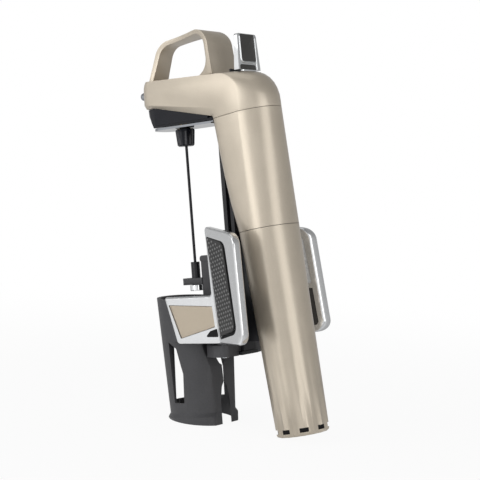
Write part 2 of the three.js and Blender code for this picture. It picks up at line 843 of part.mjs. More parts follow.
function makeBasePlate() {
  const top = coverBottom - seatGap;
  const hole = bar(socketRadius + seatGap, 0, 0, top - overrun, top + overrun, roundSegments);
  const trimmed = coverFootHalfWidth;
  const plate = prism(coverPlan(basePlateInset, trimmed, basePlateReach), top - basePlateThickness, top);
  const rearGap = block([-trimmed, trimmed], [railFront - seatGap, coverRear], [top - overrun, top - basePlateThickness * half]);
  return cut(plate, hole, rearGap);
}

// Needle socket, outlet block, spout and gas line
function makeSocket() {
  return turned([
    [socketBore, coverBottom - basePlateThickness],
    [socketRadius, coverBottom - basePlateThickness],
    [socketRadius, socketTop],
    [socketBore, socketTop],
  ], roundSegments, true);
}

function makeOutlet() {
  const bottom = socketTop + seatGap * 2;
  const width = [-outletHalfWidth, outletHalfWidth];
  const body = block(width, [-outletRear, outletRear], [bottom, bottom + outletHeight]);
  const spoutSeat = lengthBar(spoutRadius + wireGap, 0, spoutZ, -outletRear - overrun, spoutTail + wireGap);
  const lineSeat = lengthBar(gasLineRadius + wireGap, 0, gasLineZ, outletRear - shellWall, outletRear + overrun);
  return cut(body, spoutSeat, lineSeat);
}

function makeSpout() {
  const length = spoutTail - spoutTipY;
  const lip = spoutRadius * 0.35;
  const profile = [
    [0, 0],
    [spoutRadius, 0],
    [spoutRadius, length - lip * 2],
    [spoutRadius - lip * half, length - lip * half],
    [spoutRadius - lip, length],
    [spoutRadius * half, length],
    [spoutRadius * half, length - spoutRadius * 2],
    [0, length - spoutRadius * 2],
  ];
  const geometry = geometryOf(turned(profile, boltSegments + 8));
  return solid(geometry.rotateX(Math.PI / 2).translate(0, spoutTail, spoutZ));
}

function makeGasLine() {
  return lengthBar(gasLineRadius, 0, gasLineZ, outletRear - shellWall + wireGap, valveBlockFront + shellWall);
}

// Needle and its fluted knob
function makeKnob() {
  const points = knobFlutes * knobPoints;
  const top = knobBottom + knobHeight;
  const heights = [[0, 0.86], [0.08, 1], [0.9, 1], [1, 0.93]];
  const rings = heights.map(([share, fullness]) => {
    const radius = lerp(knobBottomRadius, knobTopRadius, share) * fullness;
    return Array.from({ length: points }, (_, i) => {
      const angle = (i / points) * Math.PI * 2;
      const r = radius - knobFluteDepth * half * (1 + Math.cos(angle * knobFlutes)) * fullness;
      return new THREE.Vector3(r * Math.cos(angle), r * Math.sin(angle), lerp(knobBottom, top, share));
    });
  });
  const shank = bar(knobShankRadius, 0, 0, top - seatGap, knobShankTop, boltSegments * 2);
  const hole = bar(needleRadius + wireGap, 0, 0, knobBottom - overrun, knobShankTop + overrun);
  return cut(join(loft(rings, seenFromAbove), shank), hole);
}

// Trigger: a tapered thumb paddle on a pivoted shank with a toe that works the valve
const triggerPivotY = triggerFront + triggerThickness * half;
const triggerFoot = headTopAt(triggerFront) + seatGap * 2;

function makeTrigger() {
  const rear = triggerFront + triggerThickness;
  const outline = new THREE.Shape([
    new THREE.Vector2(triggerFront, triggerFoot),
    new THREE.Vector2(rear, triggerFoot),
    new THREE.Vector2(rear - triggerThickness * 0.2, triggerTop),
    new THREE.Vector2(triggerFront + triggerThickness * 0.1, triggerTop),
  ]);
  const wide = triggerFootHalfWidth + overrun;
  const front = rounded([
    [-triggerFootHalfWidth, triggerFoot],
    [triggerFootHalfWidth, triggerFoot],
    [triggerTopHalfWidth, triggerTop, triggerTopRadius],
    [-triggerTopHalfWidth, triggerTop, triggerTopRadius],
  ]);
  const facing = new THREE.ExtrudeGeometry(front, { depth: overrun * 4, bevelEnabled: false, curveSegments: 5 });
  facing.rotateX(Math.PI / 2).translate(0, triggerPivotY + overrun * 2, 0);
  const paddle = sidePrism(outline, -wide, wide).intersect(solid(facing));
  const recess = block(
    [-thumbPadWidth / 2, thumbPadWidth / 2],
    [rear - triggerThickness * 0.2 - thumbPadDepth, rear + overrun],
    [triggerTop - thumbPadTopMargin - thumbPadHeight, triggerTop - thumbPadTopMargin],
  );
  const shank = block(
    [-triggerShankHalfWidth, triggerShankHalfWidth],
    [triggerFront, rear],
    [triggerPivotZ, triggerFoot + seatGap],
  );
  const hub = crossBar(triggerPivotRadius, triggerPivotY, triggerPivotZ, -triggerShankHalfWidth, triggerShankHalfWidth);
  const toe = block(
    [-stemFlangeRadius, stemFlangeRadius],
    [triggerPivotY - triggerToeReach, triggerPivotY],
    [triggerPivotZ - triggerToeDrop, triggerPivotZ - triggerToeDrop + triggerToeHeight],
  );
  const hole = crossBar(triggerPinRadius + wireGap, triggerPivotY, triggerPivotZ, -wide, wide);
  return cut(join(paddle, shank, hub, toe), recess, hole);
}

function makeThumbPad() {
  const rear = triggerFront + triggerThickness * 0.8;
  return block(
    [-thumbPadWidth / 2 + seatGap, thumbPadWidth / 2 - seatGap],
    [rear - thumbPadDepth + seatGap, rear],
    [triggerTop - thumbPadTopMargin - thumbPadHeight + seatGap, triggerTop - thumbPadTopMargin - seatGap],
  );
}

function makeBoot() {
  const halfWidth = triggerFootHalfWidth + runGap - seatGap;
  const front = triggerFront - bootMargin + seatGap;
  const rear = triggerFront + triggerThickness + runGap - seatGap * half;
  const level = headTopAt(triggerFront);
  const bottom = level - bootThickness;
  const plate = block([-halfWidth, halfWidth], [front, rear], [bottom, level - seatGap]);
  const lip = block([-halfWidth, halfWidth], [front, front + bootLip * half], [bottom, level + bootLip]);
  const opening = block(
    [-triggerShankHalfWidth - runGap, triggerShankHalfWidth + runGap],
    [triggerFront - triggerSwing, rear + overrun],
    [bottom - overrun, headTopFront + overrun],
  );
  return cut(join(plate, lip), opening);
}

function makeTriggerPin() {
  return crossBar(triggerPinRadius, triggerPivotY, triggerPivotZ, -triggerBayHalfWidth + seatGap, triggerBayHalfWidth - seatGap);
}

// Valve block under the trigger, with its stem and spring
const stemY = triggerPivotY - triggerToeReach + stemFlangeRadius * half;
const stemTop = triggerPivotZ - triggerToeDrop - seatGap;
const stemFlangeTop = valveDeck - stemRise;
const valveBoreBottom = valveBlockBottom + shellWall * half;

function makeValveBlock() {
  const width = triggerBayHalfWidth - seatGap;
  const drum = bar(shaftBayRadius - seatGap, 0, shaftBayY, valveBlockBottom, shaftBayTop - seatGap, roundSegments);
  const deck = block([-width, width], [valveBlockFront, triggerBayRear - seatGap], [triggerBayFloor + seatGap, valveDeck]);
  const ears = [-1, 1].map((side) => {
    const spread = [side * earInner, side * (earInner + earThickness)].sort((a, b) => a - b);
    return block(spread, [earFront, triggerBayRear - seatGap], [valveDeck - seatGap, triggerBayTop - seatGap]);
  });
  const tower = block(
    [-socketRadius * half, socketRadius * half],
    [valveBlockFront, stemY - valveBoreRadius - stemRise],
    [valveDeck - seatGap, gasLineZ + gasLineRadius + stemRise],
  );
  const bore = bar(valveBoreRadius, 0, stemY, valveBoreBottom, valveDeck + overrun);
  const pinHole = crossBar(triggerPinRadius + wireGap, triggerPivotY, triggerPivotZ, -width - overrun, width + overrun);
  const lineSeat = lengthBar(gasLineRadius + wireGap, 0, gasLineZ, valveBlockFront - overrun, valveBlockFront + shellWall + wireGap);
  return cut(join(drum, deck, ...ears, tower), bore, pinHole, lineSeat);
}

function makeStem() {
  const flange = bar(stemFlangeRadius, 0, stemY, stemFlangeTop - stemFlangeHeight, stemFlangeTop);
  return join(flange, bar(stemRadius, 0, stemY, stemFlangeTop - seatGap, stemTop));
}

function makeValveSpring() {
  const bottom = valveBoreBottom + valveSpringWire * half + wireGap;
  const top = stemFlangeTop - stemFlangeHeight - valveSpringWire * half - wireGap;
  const radius = valveBoreRadius - valveSpringWire;
  return solid(coil(radius, valveSpringWire, bottom, top, valveSpringTurns).translate(0, stemY, 0));
}

// Regulator: a turned body with a threaded collar below, a spring and piston above
function makeRegulator() {
  const threads = [];
  const pitch = collarLength / (collarThreads + 1);
  for (let i = 0; i < collarThreads; i += 1) {
    const t = -collarLength + pitch * (i + half);
    threads.push([collarRadius - collarThreadDepth, t], [collarRadius, t + pitch / 4]);
    threads.push([collarRadius, t + pitch / 2], [collarRadius - collarThreadDepth, t + pitch * 0.75]);
  }
  return placedOnTube(turned([
    [portRadius, neckRecessDepth - collarLength],
    [neckRecessRadius, neckRecessDepth - collarLength],
    [neckRecessRadius, -collarLength],
    [collarRadius - collarThreadDepth, -collarLength],
    ...threads,
    [collarRadius - collarThreadDepth, 0],
    [regulatorFlangeRadius, seatGap],
    [regulatorFlangeRadius, regulatorFlangeHeight],
    [regulatorRadius, regulatorFlangeHeight],
    [regulatorRadius, regulatorTop],
    [chamberRadius, regulatorTop],
    [chamberRadius, chamberFloor],
    [portRadius, chamberFloor],
  ], innerSegments, true));
}

const capBottom = regulatorTop - capThickness;
const pistonBottom = chamberFloor + seatGap;

function makeRegulatorCap() {
  const radius = chamberRadius - seatGap;
  return placedOnTube(turned([
    [0, capBottom], [radius, capBottom], [radius, regulatorTop], [0, regulatorTop],
  ], innerSegments));
}

function makePiston() {
  const radius = chamberRadius - runGap;
  const groove = collarThreadDepth;
  const middle = pistonBottom + pistonHeight * half;
  return placedOnTube(turned([
    [0, pistonBottom],
    [radius, pistonBottom],
    [radius, middle - groove],
    [radius - groove, middle - groove],
    [radius - groove, middle + groove],
    [radius, middle + groove],
    [radius, pistonBottom + pistonHeight],
    [0, pistonBottom + pistonHeight],
  ], innerSegments));
}

function makeRegulatorSpring() {
  const bottom = pistonBottom + pistonHeight + regulatorSpringWire * half + wireGap;
  const top = capBottom - regulatorSpringWire * half - wireGap;
  const radius = chamberRadius - runGap - regulatorSpringWire;
  return solid(onTube(coil(radius, regulatorSpringWire, bottom, top, regulatorSpringTurns)));
}

function makePiercingPin() {
  const top = recessTop - wireGap;
  const base = top - pinFlangeHeight;
  return placedOnTube(turned([
    [0, base - pinLength],
    [pinRadius, base - pinLength * half],
    [pinRadius, base],
    [pinFlangeRadius, base],
    [pinFlangeRadius, top],
    [0, top],
  ], boltSegments));
}

function makeCapsuleSeal() {
  const top = recessTop - wireGap * 2 - pinFlangeHeight;
  const outer = neckRecessRadius - wireGap;
  const inner = pinRadius + seatGap * 2;
  return placedOnTube(turned([
    [inner, top - sealThickness], [outer, top - sealThickness], [outer, top], [inner, top],
  ], boltSegments * 2, true));
}

// Gas capsule: a drawn bottle with a narrow neck, standing on a rubber pad in the cup
function makeCapsule() {
  const bottom = capsuleTop - capsuleLength;
  const shoulderTop = capsuleTop - capsuleNeckLength;
  const shoulderBottom = shoulderTop - capsuleShoulder;
  const mouth = pinRadius + seatGap;
  const profile = [[0, bottom]];
  for (const angle of [30, 60, 90]) {
    const turn = degrees(angle);
    profile.push([
      capsuleRadius * Math.sin(turn),
      bottom + capsuleRadius * half * (1 - Math.cos(turn)),
    ]);
  }
  profile.push(
    [capsuleRadius, shoulderBottom],
    [capsuleRadius * 0.93, lerp(shoulderBottom, shoulderTop, 0.35)],
    [lerp(capsuleRadius, capsuleNeckRadius, 0.6), lerp(shoulderBottom, shoulderTop, 0.75)],
    [capsuleNeckRadius, shoulderTop],
    [capsuleNeckRadius, capsuleTop],
    [mouth, capsuleTop],
    [mouth, shoulderTop],
    [capsuleRadius - capsuleWall, shoulderBottom],
    [capsuleRadius - capsuleWall, bottom + capsuleRadius * half],
    [capsuleRadius * half, bottom + capsuleWall],
    [0, bottom + capsuleWall],
  );
  return placedOnTube(turned(profile, innerSegments));
}

function makeCupPad() {
  const bottom = -cupLength + cupFloor + seatGap;
  const seat = capsuleTop - capsuleLength;
  const top = bottom + padHeight;
  const outer = cupRadius(-cupLength) - shellWall - seatGap;
  const profile = [[0, bottom], [outer, bottom], [outer, Math.min(top, seat + capsuleRadius * half)]];
  for (const angle of [90, 60, 30]) {
    const turn = degrees(angle);
    const radius = (capsuleRadius + seatGap) * Math.sin(turn);
    profile.push([radius, seat - seatGap + capsuleRadius * half * (1 - Math.cos(turn))]);
  }
  profile.push([0, seat - seatGap]);
  return placedOnTube(turned(profile, innerSegments));
}

// Rail: two flanges with a groove between them, and a spine that follows the tube
const railWebFront = railFront + railFlange;
const railRearFlange = railWebFront + railGroove;
const railRear = railRearFlange + railGroove;

function makeRail() {
  const width = [-railHalfWidth, railHalfWidth];
  const span = [railBottom, railTop];
  const front = block(width, [railFront, railWebFront], span);
  const web = block([-railWebHalfWidth, railWebHalfWidth], [railWebFront - seatGap, railRearFlange + seatGap], span);
  const rear = block(width, [railRearFlange, railRear], span);
  const tubeFrontY = (t) => tubeY(-(t < 0 ? cupRadius(t) : jointRadius), t) - seatGap * 3;
  const tubeFrontZ = (t) => tubeZ(-(t < 0 ? cupRadius(t) : jointRadius), t);
  const low = -(seatZ - spineBottom) / Math.cos(tubeTilt);
  const spine = sidePrism(new THREE.Shape([
    new THREE.Vector2(railRear - seatGap, spineBottom),
    new THREE.Vector2(tubeFrontY(low), spineBottom),
    new THREE.Vector2(tubeFrontY(0), tubeFrontZ(0)),
    new THREE.Vector2(tubeFrontY(0), railTop),
    new THREE.Vector2(railRear - seatGap, railTop),
  ]), -spineHalfWidth, spineHalfWidth);
  const screwSeats = [railScrewUpper, railScrewLower].flatMap((z) => [
    lengthBar(screwHeadRadius + seatGap, 0, z, railFront - overrun, railFront + screwHeadHeight + seatGap * 2),
    lengthBar(screwShankRadius + wireGap, 0, z, railFront, railRear + overrun * 4),
  ]);
  const bodySpace = placedOnTube(bodySkin(0, upperLength + overrun, -seatGap));
  return cut(join(front, web, rear, spine), bodySpace, ...screwSeats);
}

function makeRailScrew(z) {
  const head = lengthBar(screwHeadRadius, 0, z, railFront + seatGap, railFront + seatGap + screwHeadHeight);
  const wall = tubeY(-jointRadius + shellWall + screwReach, z - seatZ);
  return join(head, lengthBar(screwShankRadius, 0, z, railFront + seatGap + screwHeadHeight * half, wall));
}

function makeRailStop() {
  const top = railBottom - seatGap;
  const width = railHalfWidth + stopReach;
  const foot = block([-width, width], [railFront - stopReach, railRear], [top - stopHeight, top]);
  return foot;
}

// Carriage: a block that wraps the rail, with lugs for the lever pins above and below
function lobes(bottom, top, inset = 0) {
  return [-1, 1].flatMap((side) => [
    bar(lobeRadius - inset, side * lobeX, pivotY, bottom, top, boltSegments),
  ]);
}

function makeCarriage() {
  const topPlateBottom = carriageTop - topPlateHeight;
  const bottomPlateTop = carriageBottom + bottomPlateHeight;
  const stepZ = carriageBottom + bottomPlateHeight - bottomPlateStep;
  const core = block([-carriageHalfWidth, carriageHalfWidth], [saddleRear + seatGap, carriageRear], [carriageBottom, carriageTop]);
  const shelf = block([-shelfHalfWidth, shelfHalfWidth], [shelfFront, saddleRear + overrun], [topPlateBottom, carriageTop]);
  const topYoke = block([-lobeX, lobeX], [pivotY - lobeHalfDepth, pivotY + lobeHalfDepth], [topPlateBottom, carriageTop]);
  const foot = rounded([
    [-lobeX, bottomPlateFront, footFrontRadius],
    [lobeX, bottomPlateFront, footFrontRadius],
    [lobeX + lobeRadius, pivotY - lobeHalfDepth, footSideRadius],
    [lobeX + lobeRadius, pivotY, 0],
    [lobeX, pivotY + lobeHalfDepth, footRearRadius],
    [carriageHalfWidth + seatGap, carriageRear],
    [-carriageHalfWidth - seatGap, carriageRear],
    [-lobeX, pivotY + lobeHalfDepth, footRearRadius],
    [-lobeX - lobeRadius, pivotY, 0],
    [-lobeX - lobeRadius, pivotY - lobeHalfDepth, footSideRadius],
  ]);
  const footLow = prism(foot, carriageBottom, stepZ);
  const footHigh = prism(foot, stepZ - seatGap, bottomPlateTop);
  const tongue = block([-carriageHalfWidth - seatGap * 2, carriageHalfWidth + seatGap * 2], [saddleFront, saddleRear], [carriageBottom, bottomPlateTop]);
  const neck = bar(neckRadius, 0, 0, carriageBottom - overrun, bottomPlateTop + overrun, roundSegments);
  const body = join(
    core, shelf, topYoke, footLow, footHigh, cut(tongue, neck),
    ...lobes(topPlateBottom, carriageTop),
    ...lobes(carriageBottom, bottomPlateTop),
  );
  const tall = [carriageBottom - overrun, carriageTop + overrun];
  const channel = block([-railHalfWidth - runGap, railHalfWidth + runGap], [railFront - runGap, railWebFront + runGap], tall);
  const throat = block([-railWebHalfWidth - runGap, railWebHalfWidth + runGap], [railFront, carriageRear + overrun], tall);
  const rear = block([-railHalfWidth - runGap, railHalfWidth + runGap], [railRearFlange - runGap, carriageRear + overrun], tall);
  const pins = [-1, 1].map((side) => bar(leverPinRadius + wireGap, side * lobeX, pivotY, ...tall));
  const legSlots = [-1, 1].map((side) => springSlot(side));
  const stopWidth = railHalfWidth + stopReach + runGap;
  const stopPocket = block(
    [-stopWidth, stopWidth],
    [railFront - stopReach - runGap, carriageRear + overrun],
    [carriageBottom - overrun, railBottom],
  );
  return cut(body, channel, throat, rear, stopPocket, ...pins, ...legSlots);
}

function springSlot(side) {
  const z = springTop - leverSpringWire;
  const reach = lobeX - leverSpringRadius;
  const span = [side * (reach - leverSpringLeg), side * lobeX].sort((a, b) => a - b);
  return block(span, [pivotY - leverSpringRadius - leverSpringLeg * half, pivotY], [z - leverSpringWire, z + leverSpringWire * 3]);
}

// Neck saddle: the fixed rear grip that the bottle's neck is pressed against
function makeSaddle() {
  const width = [-carriageHalfWidth, carriageHalfWidth];
  const top = carriageTop - topPlateHeight - seatGap;
  const bottom = carriageBottom + bottomPlateHeight + seatGap;
  const body = block(width, [saddleFront, saddleRear], [bottom, top]);
  return cut(body, bar(neckRadius, 0, 0, bottom - overrun, top + overrun, roundSegments));
}

// Guide post with its arm, the needle guide and the ferrule under it
function makePost() {
  const bottom = carriageTop + seatGap;
  const column = block([-postHalfWidth, postHalfWidth], [postFront, postFront + postDepth], [bottom, postTop - postCap]);
  const inset = postCapInset;
  const cap = sidePrism(rounded([
    [postFront - inset, postTop - postCap - seatGap, postCapLowRadius],
    [postFront + postDepth, postTop - postCap - seatGap, postCapLowRadius],
    [postFront + postDepth, postTop, postCapRearRadius],
    [postFront - inset, postTop, postCapFrontRadius],
  ]), -postHalfWidth - inset, postHalfWidth + inset);
  const arm = prism(rounded([
    [-armHalfWidth, -armReach, armRadius],
    [armHalfWidth, -armReach, armRadius],
    [armHalfWidth, postFront + seatGap],
    [-armHalfWidth, postFront + seatGap],
  ]), armTop - armThickness, armTop);
  const hole = bar(guideRadius + wireGap, 0, 0, armTop - armThickness - overrun, armTop + overrun);
  return cut(join(column, cap, arm), hole);
}

function makeGuide() {
  const bore = needleRadius + wireGap * 2;
  return turned([[bore, guideBottom], [guideRadius, guideBottom], [guideRadius, 0], [bore, 0]], ringSegments, true);
}

function makeFerrule() {
  const top = armTop - armThickness - seatGap;
  const bore = guideRadius + wireGap;
  const bottom = top - ferruleHeight;
  return turned([
    [bore, bottom],
    [ferruleRadius - seatGap, bottom],
    [ferruleRadius, bottom + seatGap],
    [ferruleRadius, top],
    [bore, top],
  ], ringSegments, true);
}

// Lever plates: the space between an outer and an inner line in plan, ruled from high to low
function outerLine(level, shift) {
  const frontY = leverFrontY - overrun;
  return level === leverHigh
    ? [[leverFrontX + shift, frontY], [creaseHighX + shift, creaseHighY], [wingHighX + shift, wingHighY]]
    : [[leverFrontX + shift, frontY], [creaseLowX + shift, creaseLowY], [wingLowX + shift, wingLowY]];
}

function innerLine(level, shift) {
  const [front, crease, rear] = outerLine(level, 0);
  const thick = wingThickness + shift;
  return [
    [front[0] - bladeThickness - shift, front[1]],
    [crease[0] - bladeThickness - shift, crease[1] - wingRootLead],
    [crease[0] - thick, crease[1]],
    [rear[0] - thick, rear[1]],
  ];
}

function slab(outer, inner) {
  const ring = (level, z) => [...outer(level), ...inner(level).reverse()].map(([x, y]) => new THREE.Vector3(x, y, z));
  return loft([ring(leverLow, leverLow), ring(leverHigh, leverHigh + overrun)], seenFromAbove);
}
const wide = leverFrontX * 2;
const plateSlab = () => slab((level) => outerLine(level, 0), (level) => innerLine(level, 0));
const skinSlab = (depth, proud) => slab((level) => outerLine(level, proud), (level) => outerLine(level, -depth));

const leverOutline = (inset) => rounded([
  [leverNoseTopY + inset, leverShelfZ - inset, leverNoseRadius],
  [leverNoseBottomY + inset * half, leverBottomZ + inset, leverToeRadius],
  [wingBottomRearY - inset, leverBottomZ + inset, wingBottomRearRadius - inset],
  [wingTopRearY - inset, leverTopZ - wingTopDrop - inset, wingTopRearRadius - inset],
  [creaseHighY + inset, leverTopZ - inset, leverStepRadius],
  [creaseHighY + inset + recessDepth, leverShelfZ - inset, leverStepRadius],
]);

const padOutline = (inset, channel = 0) => rounded([
  [padFrontTopY + inset, padFrontTopZ - inset, padFrontRadius],
  [padFrontBottomY + inset, padFrontBottomZ + inset - channel, padFrontRadius],
  [padRearBottomY - inset + channel, padRearBottomZ + inset - channel, padRearBottomRadius + channel * half],
  [padRearTopY - inset + channel, padRearTopZ - inset, padRearTopRadius],
]);

const badgeOutline = (inset) => rounded([
  [plateFrontTopY + inset, plateFrontTopZ - inset, badgeRadius],
  [plateFrontBottomY + inset, plateFrontBottomZ + inset, badgeRadius],
  [plateRearBottomY - inset, plateRearBottomZ + inset, badgeRadius],
  [plateRearTopY - inset, plateRearTopZ - inset, badgeRadius],
]);

function makeLever() {
  const plate = plateSlab().intersect(sidePrism(leverOutline(0), 0, wide));
  const skin = skinSlab(recessDepth, overrun);
  const padSeat = skin.intersect(sidePrism(padOutline(0, padChannel), 0, wide));
  const badgeSeat = skin.intersect(sidePrism(badgeOutline(0), 0, wide));
  const window = skin.intersect(sidePrism(rounded([
    [plateRearBottomY + recessDepth * half, plateRearBottomZ - recessDepth],
    [plateRearBottomY + recessDepth, plateRearBottomZ - cornerWindowDrop],
    [plateRearBottomY - cornerWindowRun, plateRearBottomZ - cornerWindowDrop],
    [plateRearBottomY - cornerWindowRun * half, plateRearBottomZ - recessDepth],
  ]), 0, wide));
  const hollowSlab = slab(
    (level) => innerLine(level, 0).map(([x, y]) => [x + wingThickness - innerFloor, y]),
    (level) => innerLine(level, overrun),
  );
  const wingFrontY = Math.max(creaseHighY, creaseLowY) + innerBorder;
  const ribTop = innerRibZ + innerRib * half;
  const ribBottom = innerRibZ - innerRib * half;
  const low = [wingFrontY, leverBottomZ];
  const pocket = (bottom, top) => hollowSlab
    .intersect(sidePrism(leverOutline(innerBorder), 0, wide))
    .intersect(block([0, wide], [low[0], wide * 2], [bottom, top]));
  return cut(plate, padSeat, badgeSeat, window, pocket(leverBottomZ, ribBottom), pocket(ribTop, leverTopZ));
}

function makePad() {
  return skinSlab(recessDepth - seatGap, inlayRise).intersect(sidePrism(padOutline(seatGap), 0, wide));
}

function makeBadge() {
  return skinSlab(recessDepth - seatGap, -inlayRise).intersect(sidePrism(badgeOutline(seatGap), 0, wide));
}

// Jaws
const sleeveRadius = (z) => sleeveTopRadius - sleeveTaperShare * (sleeveTop - z);
const sleeveFoot = -floorDrop - sleeveTopRadius;
const hubBottom = carriageBottom + bottomPlateHeight + runGap;
const rimTop = -floorDrop + rimHeight;

function wedge(fromAngle, toAngle, bottom, top) {
  const reach = sleeveTopRadius * 2;
  const steps = 6;
  const shape = new THREE.Shape();
  shape.moveTo(0, 0);
  for (let i = 0; i <= steps; i += 1) {
    const angle = degrees(lerp(fromAngle, toAngle, i / steps));
    shape.lineTo(reach * Math.cos(angle), reach * Math.sin(angle));
  }
  shape.closePath();
  const geometry = new THREE.ExtrudeGeometry(shape, { depth: top - bottom, bevelEnabled: false });
  return solid(geometry.translate(0, sleeveY, bottom));
}

function sleeveShell() {
  const wallAt = (z, offset) => [sleeveRadius(z) + offset, z];
  const lipTop = rimTop - rimHeight + rimLipHeight;
  const ring = turned([
    [footInnerRadius, sleeveFoot],
    wallAt(sleeveFoot, rimFlare),
    wallAt(lipTop, rimFlare),
    wallAt(rimTop, 0),
    wallAt(sleeveTop, 0),
    wallAt(sleeveTop, -sleeveWall),
    wallAt(ledgeTop, -sleeveWall),
    [ledgeRadius, ledgeBottom],
    [footInnerRadius, windowBottom],
  ], sleeveSegments, true);
  return solid(geometryOf(ring).translate(0, sleeveY, 0));
}

function floorCutter() {
  const size = floorDrop * 3;
  const box = new THREE.BoxGeometry(size, size, size);
  return solid(box.translate(0, 0, -floorDrop - size / 2).rotateX(-lean));
}

function makeJaw() {
  const kept = sleeveShell().intersect(sidePrism(new THREE.Shape([
    [-wide, sleeveFoot - overrun],
    [panelRearFootY, sleeveFoot - overrun],
    [panelRearFootY, panelRearFootZ],
    [panelRearMiddleY, panelRearMiddleZ],
    [panelRearTopY, panelRearTopZ],
    [panelRearTopY, sleeveRearTop],
    [sleeveSlopeRear, sleeveRearTop],
    [sleeveSlopeFront, sleeveTop],
    [-wide, sleeveTop],
  ].map(([y, z]) => new THREE.Vector2(y, z))), 0, wide));
  const frontWindow = wedge(splitAngle - overrun, frontWindowAngle, windowBottom, bandBottom);
  const sideWindow = sidePrism(rounded([
    [strutRearY, windowBottom, windowRadius],
    [panelFootY, windowBottom, windowRadius],
    [panelFootY, panelFootZ],
    [panelWaistY, panelWaistZ],
    [panelTopY, panelTopZ],
    [strutRearY, windowTop],
  ]), 0, wide);
  const farSide = block([-wide, splitGap * half], [-wide, wide], [sleeveFoot - overrun, sleeveTop + overrun]);
  const clampSpace = block(
    [-wide, carriageHalfWidth + seatGap * 2 + runGap],
    [saddleFront - runGap, wide],
    [carriageBottom - runGap, sleeveTop + overrun],
  );
  const shell = cut(kept, frontWindow, sideWindow, farSide, clampSpace);
  const bore = bar(leverPinRadius + runGap * half, lobeX, pivotY, hubBottom - overrun, springTop + overrun, ringSegments);
  const hub = bar(hubRadius, lobeX, pivotY, hubBottom, hubTop, ringSegments);
  const armPlan = rounded([
    [sleeveTopRadius * 0.62, armFront],
    [wide, armFront],
    [wide, armRear],
    [lobeX, armRear],
    [lobeX, pivotY - hubRadius],
    [armInnerX + seatGap * 2, bottomPlateFront + overrun],
  ]);
  const armBody = prism(armPlan, armUnder, hubTop);
  const leverSpace = slab(
    (level) => outerLine(level, wide),
    (level) => innerLine(level, seatGap),
  );
  const sleeveInside = turned([
    [0, sleeveFoot], [sleeveRadius(sleeveFoot) - sleeveWall, sleeveFoot],
    [sleeveRadius(sleeveTop) - sleeveWall, sleeveTop + overrun], [0, sleeveTop + overrun],
  ], sleeveSegments);
  const inside = solid(geometryOf(sleeveInside).translate(0, sleeveY, 0));
  const keepClear = block([-wide, carriageHalfWidth + seatGap * 2], [bottomPlateFront - overrun, wide], [sleeveFoot, sleeveTop]);
  const arm = cut(armBody, inside, keepClear);
  return cut(join(cut(shell, leverSpace), cut(arm, leverSpace), hub), bore, floorCutter());
}

function makeLiner() {
  const outer = turned([
    [gripLinerRadius, gripLinerBottom], [sleeveTopRadius, gripLinerBottom],
    [sleeveTopRadius, gripLinerTop], [gripLinerRadius, gripLinerTop],
  ], sleeveSegments, true);
  const within = turned([
    [0, gripLinerBottom - overrun],
    [sleeveRadius(gripLinerBottom - overrun) - sleeveWall - seatGap, gripLinerBottom - overrun],
    [sleeveRadius(gripLinerTop + overrun) - sleeveWall - seatGap, gripLinerTop + overrun],
    [0, gripLinerTop + overrun],
  ], sleeveSegments);
  const sleeveSpace = solid(geometryOf(within).translate(0, sleeveY, 0));
  const sector = wedge(gripLinerStartAngle, gripLinerEndAngle, gripLinerBottom - overrun, gripLinerTop + overrun);
  return outer.intersect(sleeveSpace).intersect(sector);
}

// Lever pins and torsion springs
const springBottom = hubTop + seatGap;
const springTop = carriageTop - topPlateHeight - seatGap;

function makeLeverPin() {
  const shank = bar(leverPinRadius, lobeX, pivotY, carriageBottom - pinHeadHeight * half, carriageTop + pinHeadHeight, ringSegments);
  const head = bar(pinHeadRadius, lobeX, pivotY, carriageTop + seatGap, carriageTop + seatGap + pinHeadHeight, ringSegments);
  return join(shank, head);
}

function makeLeverSpring() {
  const bottom = springBottom + leverSpringWire * half;
  const top = springTop - leverSpringWire * half;
  return solid(coil(leverSpringRadius, leverSpringWire, bottom, top, leverSpringTurns).translate(lobeX, pivotY, 0));
}

// Materials, by what the pieces are finished in
const finish = (color, roughness, metalness) => () => new THREE.MeshStandardMaterial({ color, roughness, metalness });
const champagne = finish(0xc3b6a0, 0.42, 0.55);
const chrome = finish(0xd9dbde, 0.08, 1);
const darkChrome = finish(0x8d9096, 0.15, 1);
const charcoal = finish(0x464648, 0.62, 0);
const glossBlack = finish(0x1d1e24, 0.18, 0);
const black = finish(0x17181a, 0.35, 0);
const rubber = finish(0x3c3c3e, 0.8, 0);
const steel = finish(0xb4b7ba, 0.3, 1);
const brass = finish(0xc2a35a, 0.3, 1);
const aluminium = finish(0xb9bcc0, 0.38, 0.9);

const device = new THREE.Group();
device.rotation.x = lean;

function add(name, body, material) {
  const geometry = geometryOf(body);
  geometry.computeVertexNormals();
  const mesh = new THREE.Mesh(geometry, material());
  mesh.name = name;
  device.add(mesh);
}

function addPair(name, body, material) {
  add(`${name}_left`, body, material);
  add(`${name}_right`, mirrored(body), material);
}

// Head and spout
add('head_shell', makeHead(), champagne);
add('loop_handle', makeLoop(), champagne);
add('underside_cover', makeCover(), glossBlack);
add('base_plate', makeBasePlate(), darkChrome);
add('needle_socket', makeSocket(), brass);
add('outlet_block', makeOutlet(), black);
add('spout', makeSpout(), chrome);
add('gas_line', makeGasLine(), steel);
add('needle_knob', makeKnob(), glossBlack);
add('needle', bar(needleRadius, 0, 0, needleTip, knobShankTop - seatGap), steel);

// Trigger and valve
add('trigger', makeTrigger(), chrome);
add('thumb_pad', makeThumbPad(), darkChrome);
add('trigger_boot', makeBoot(), black);
add('trigger_pin', makeTriggerPin(), steel);
add('valve_block', makeValveBlock(), aluminium);
add('valve_stem', makeStem(), brass);
add('valve_spring', makeValveSpring(), steel);

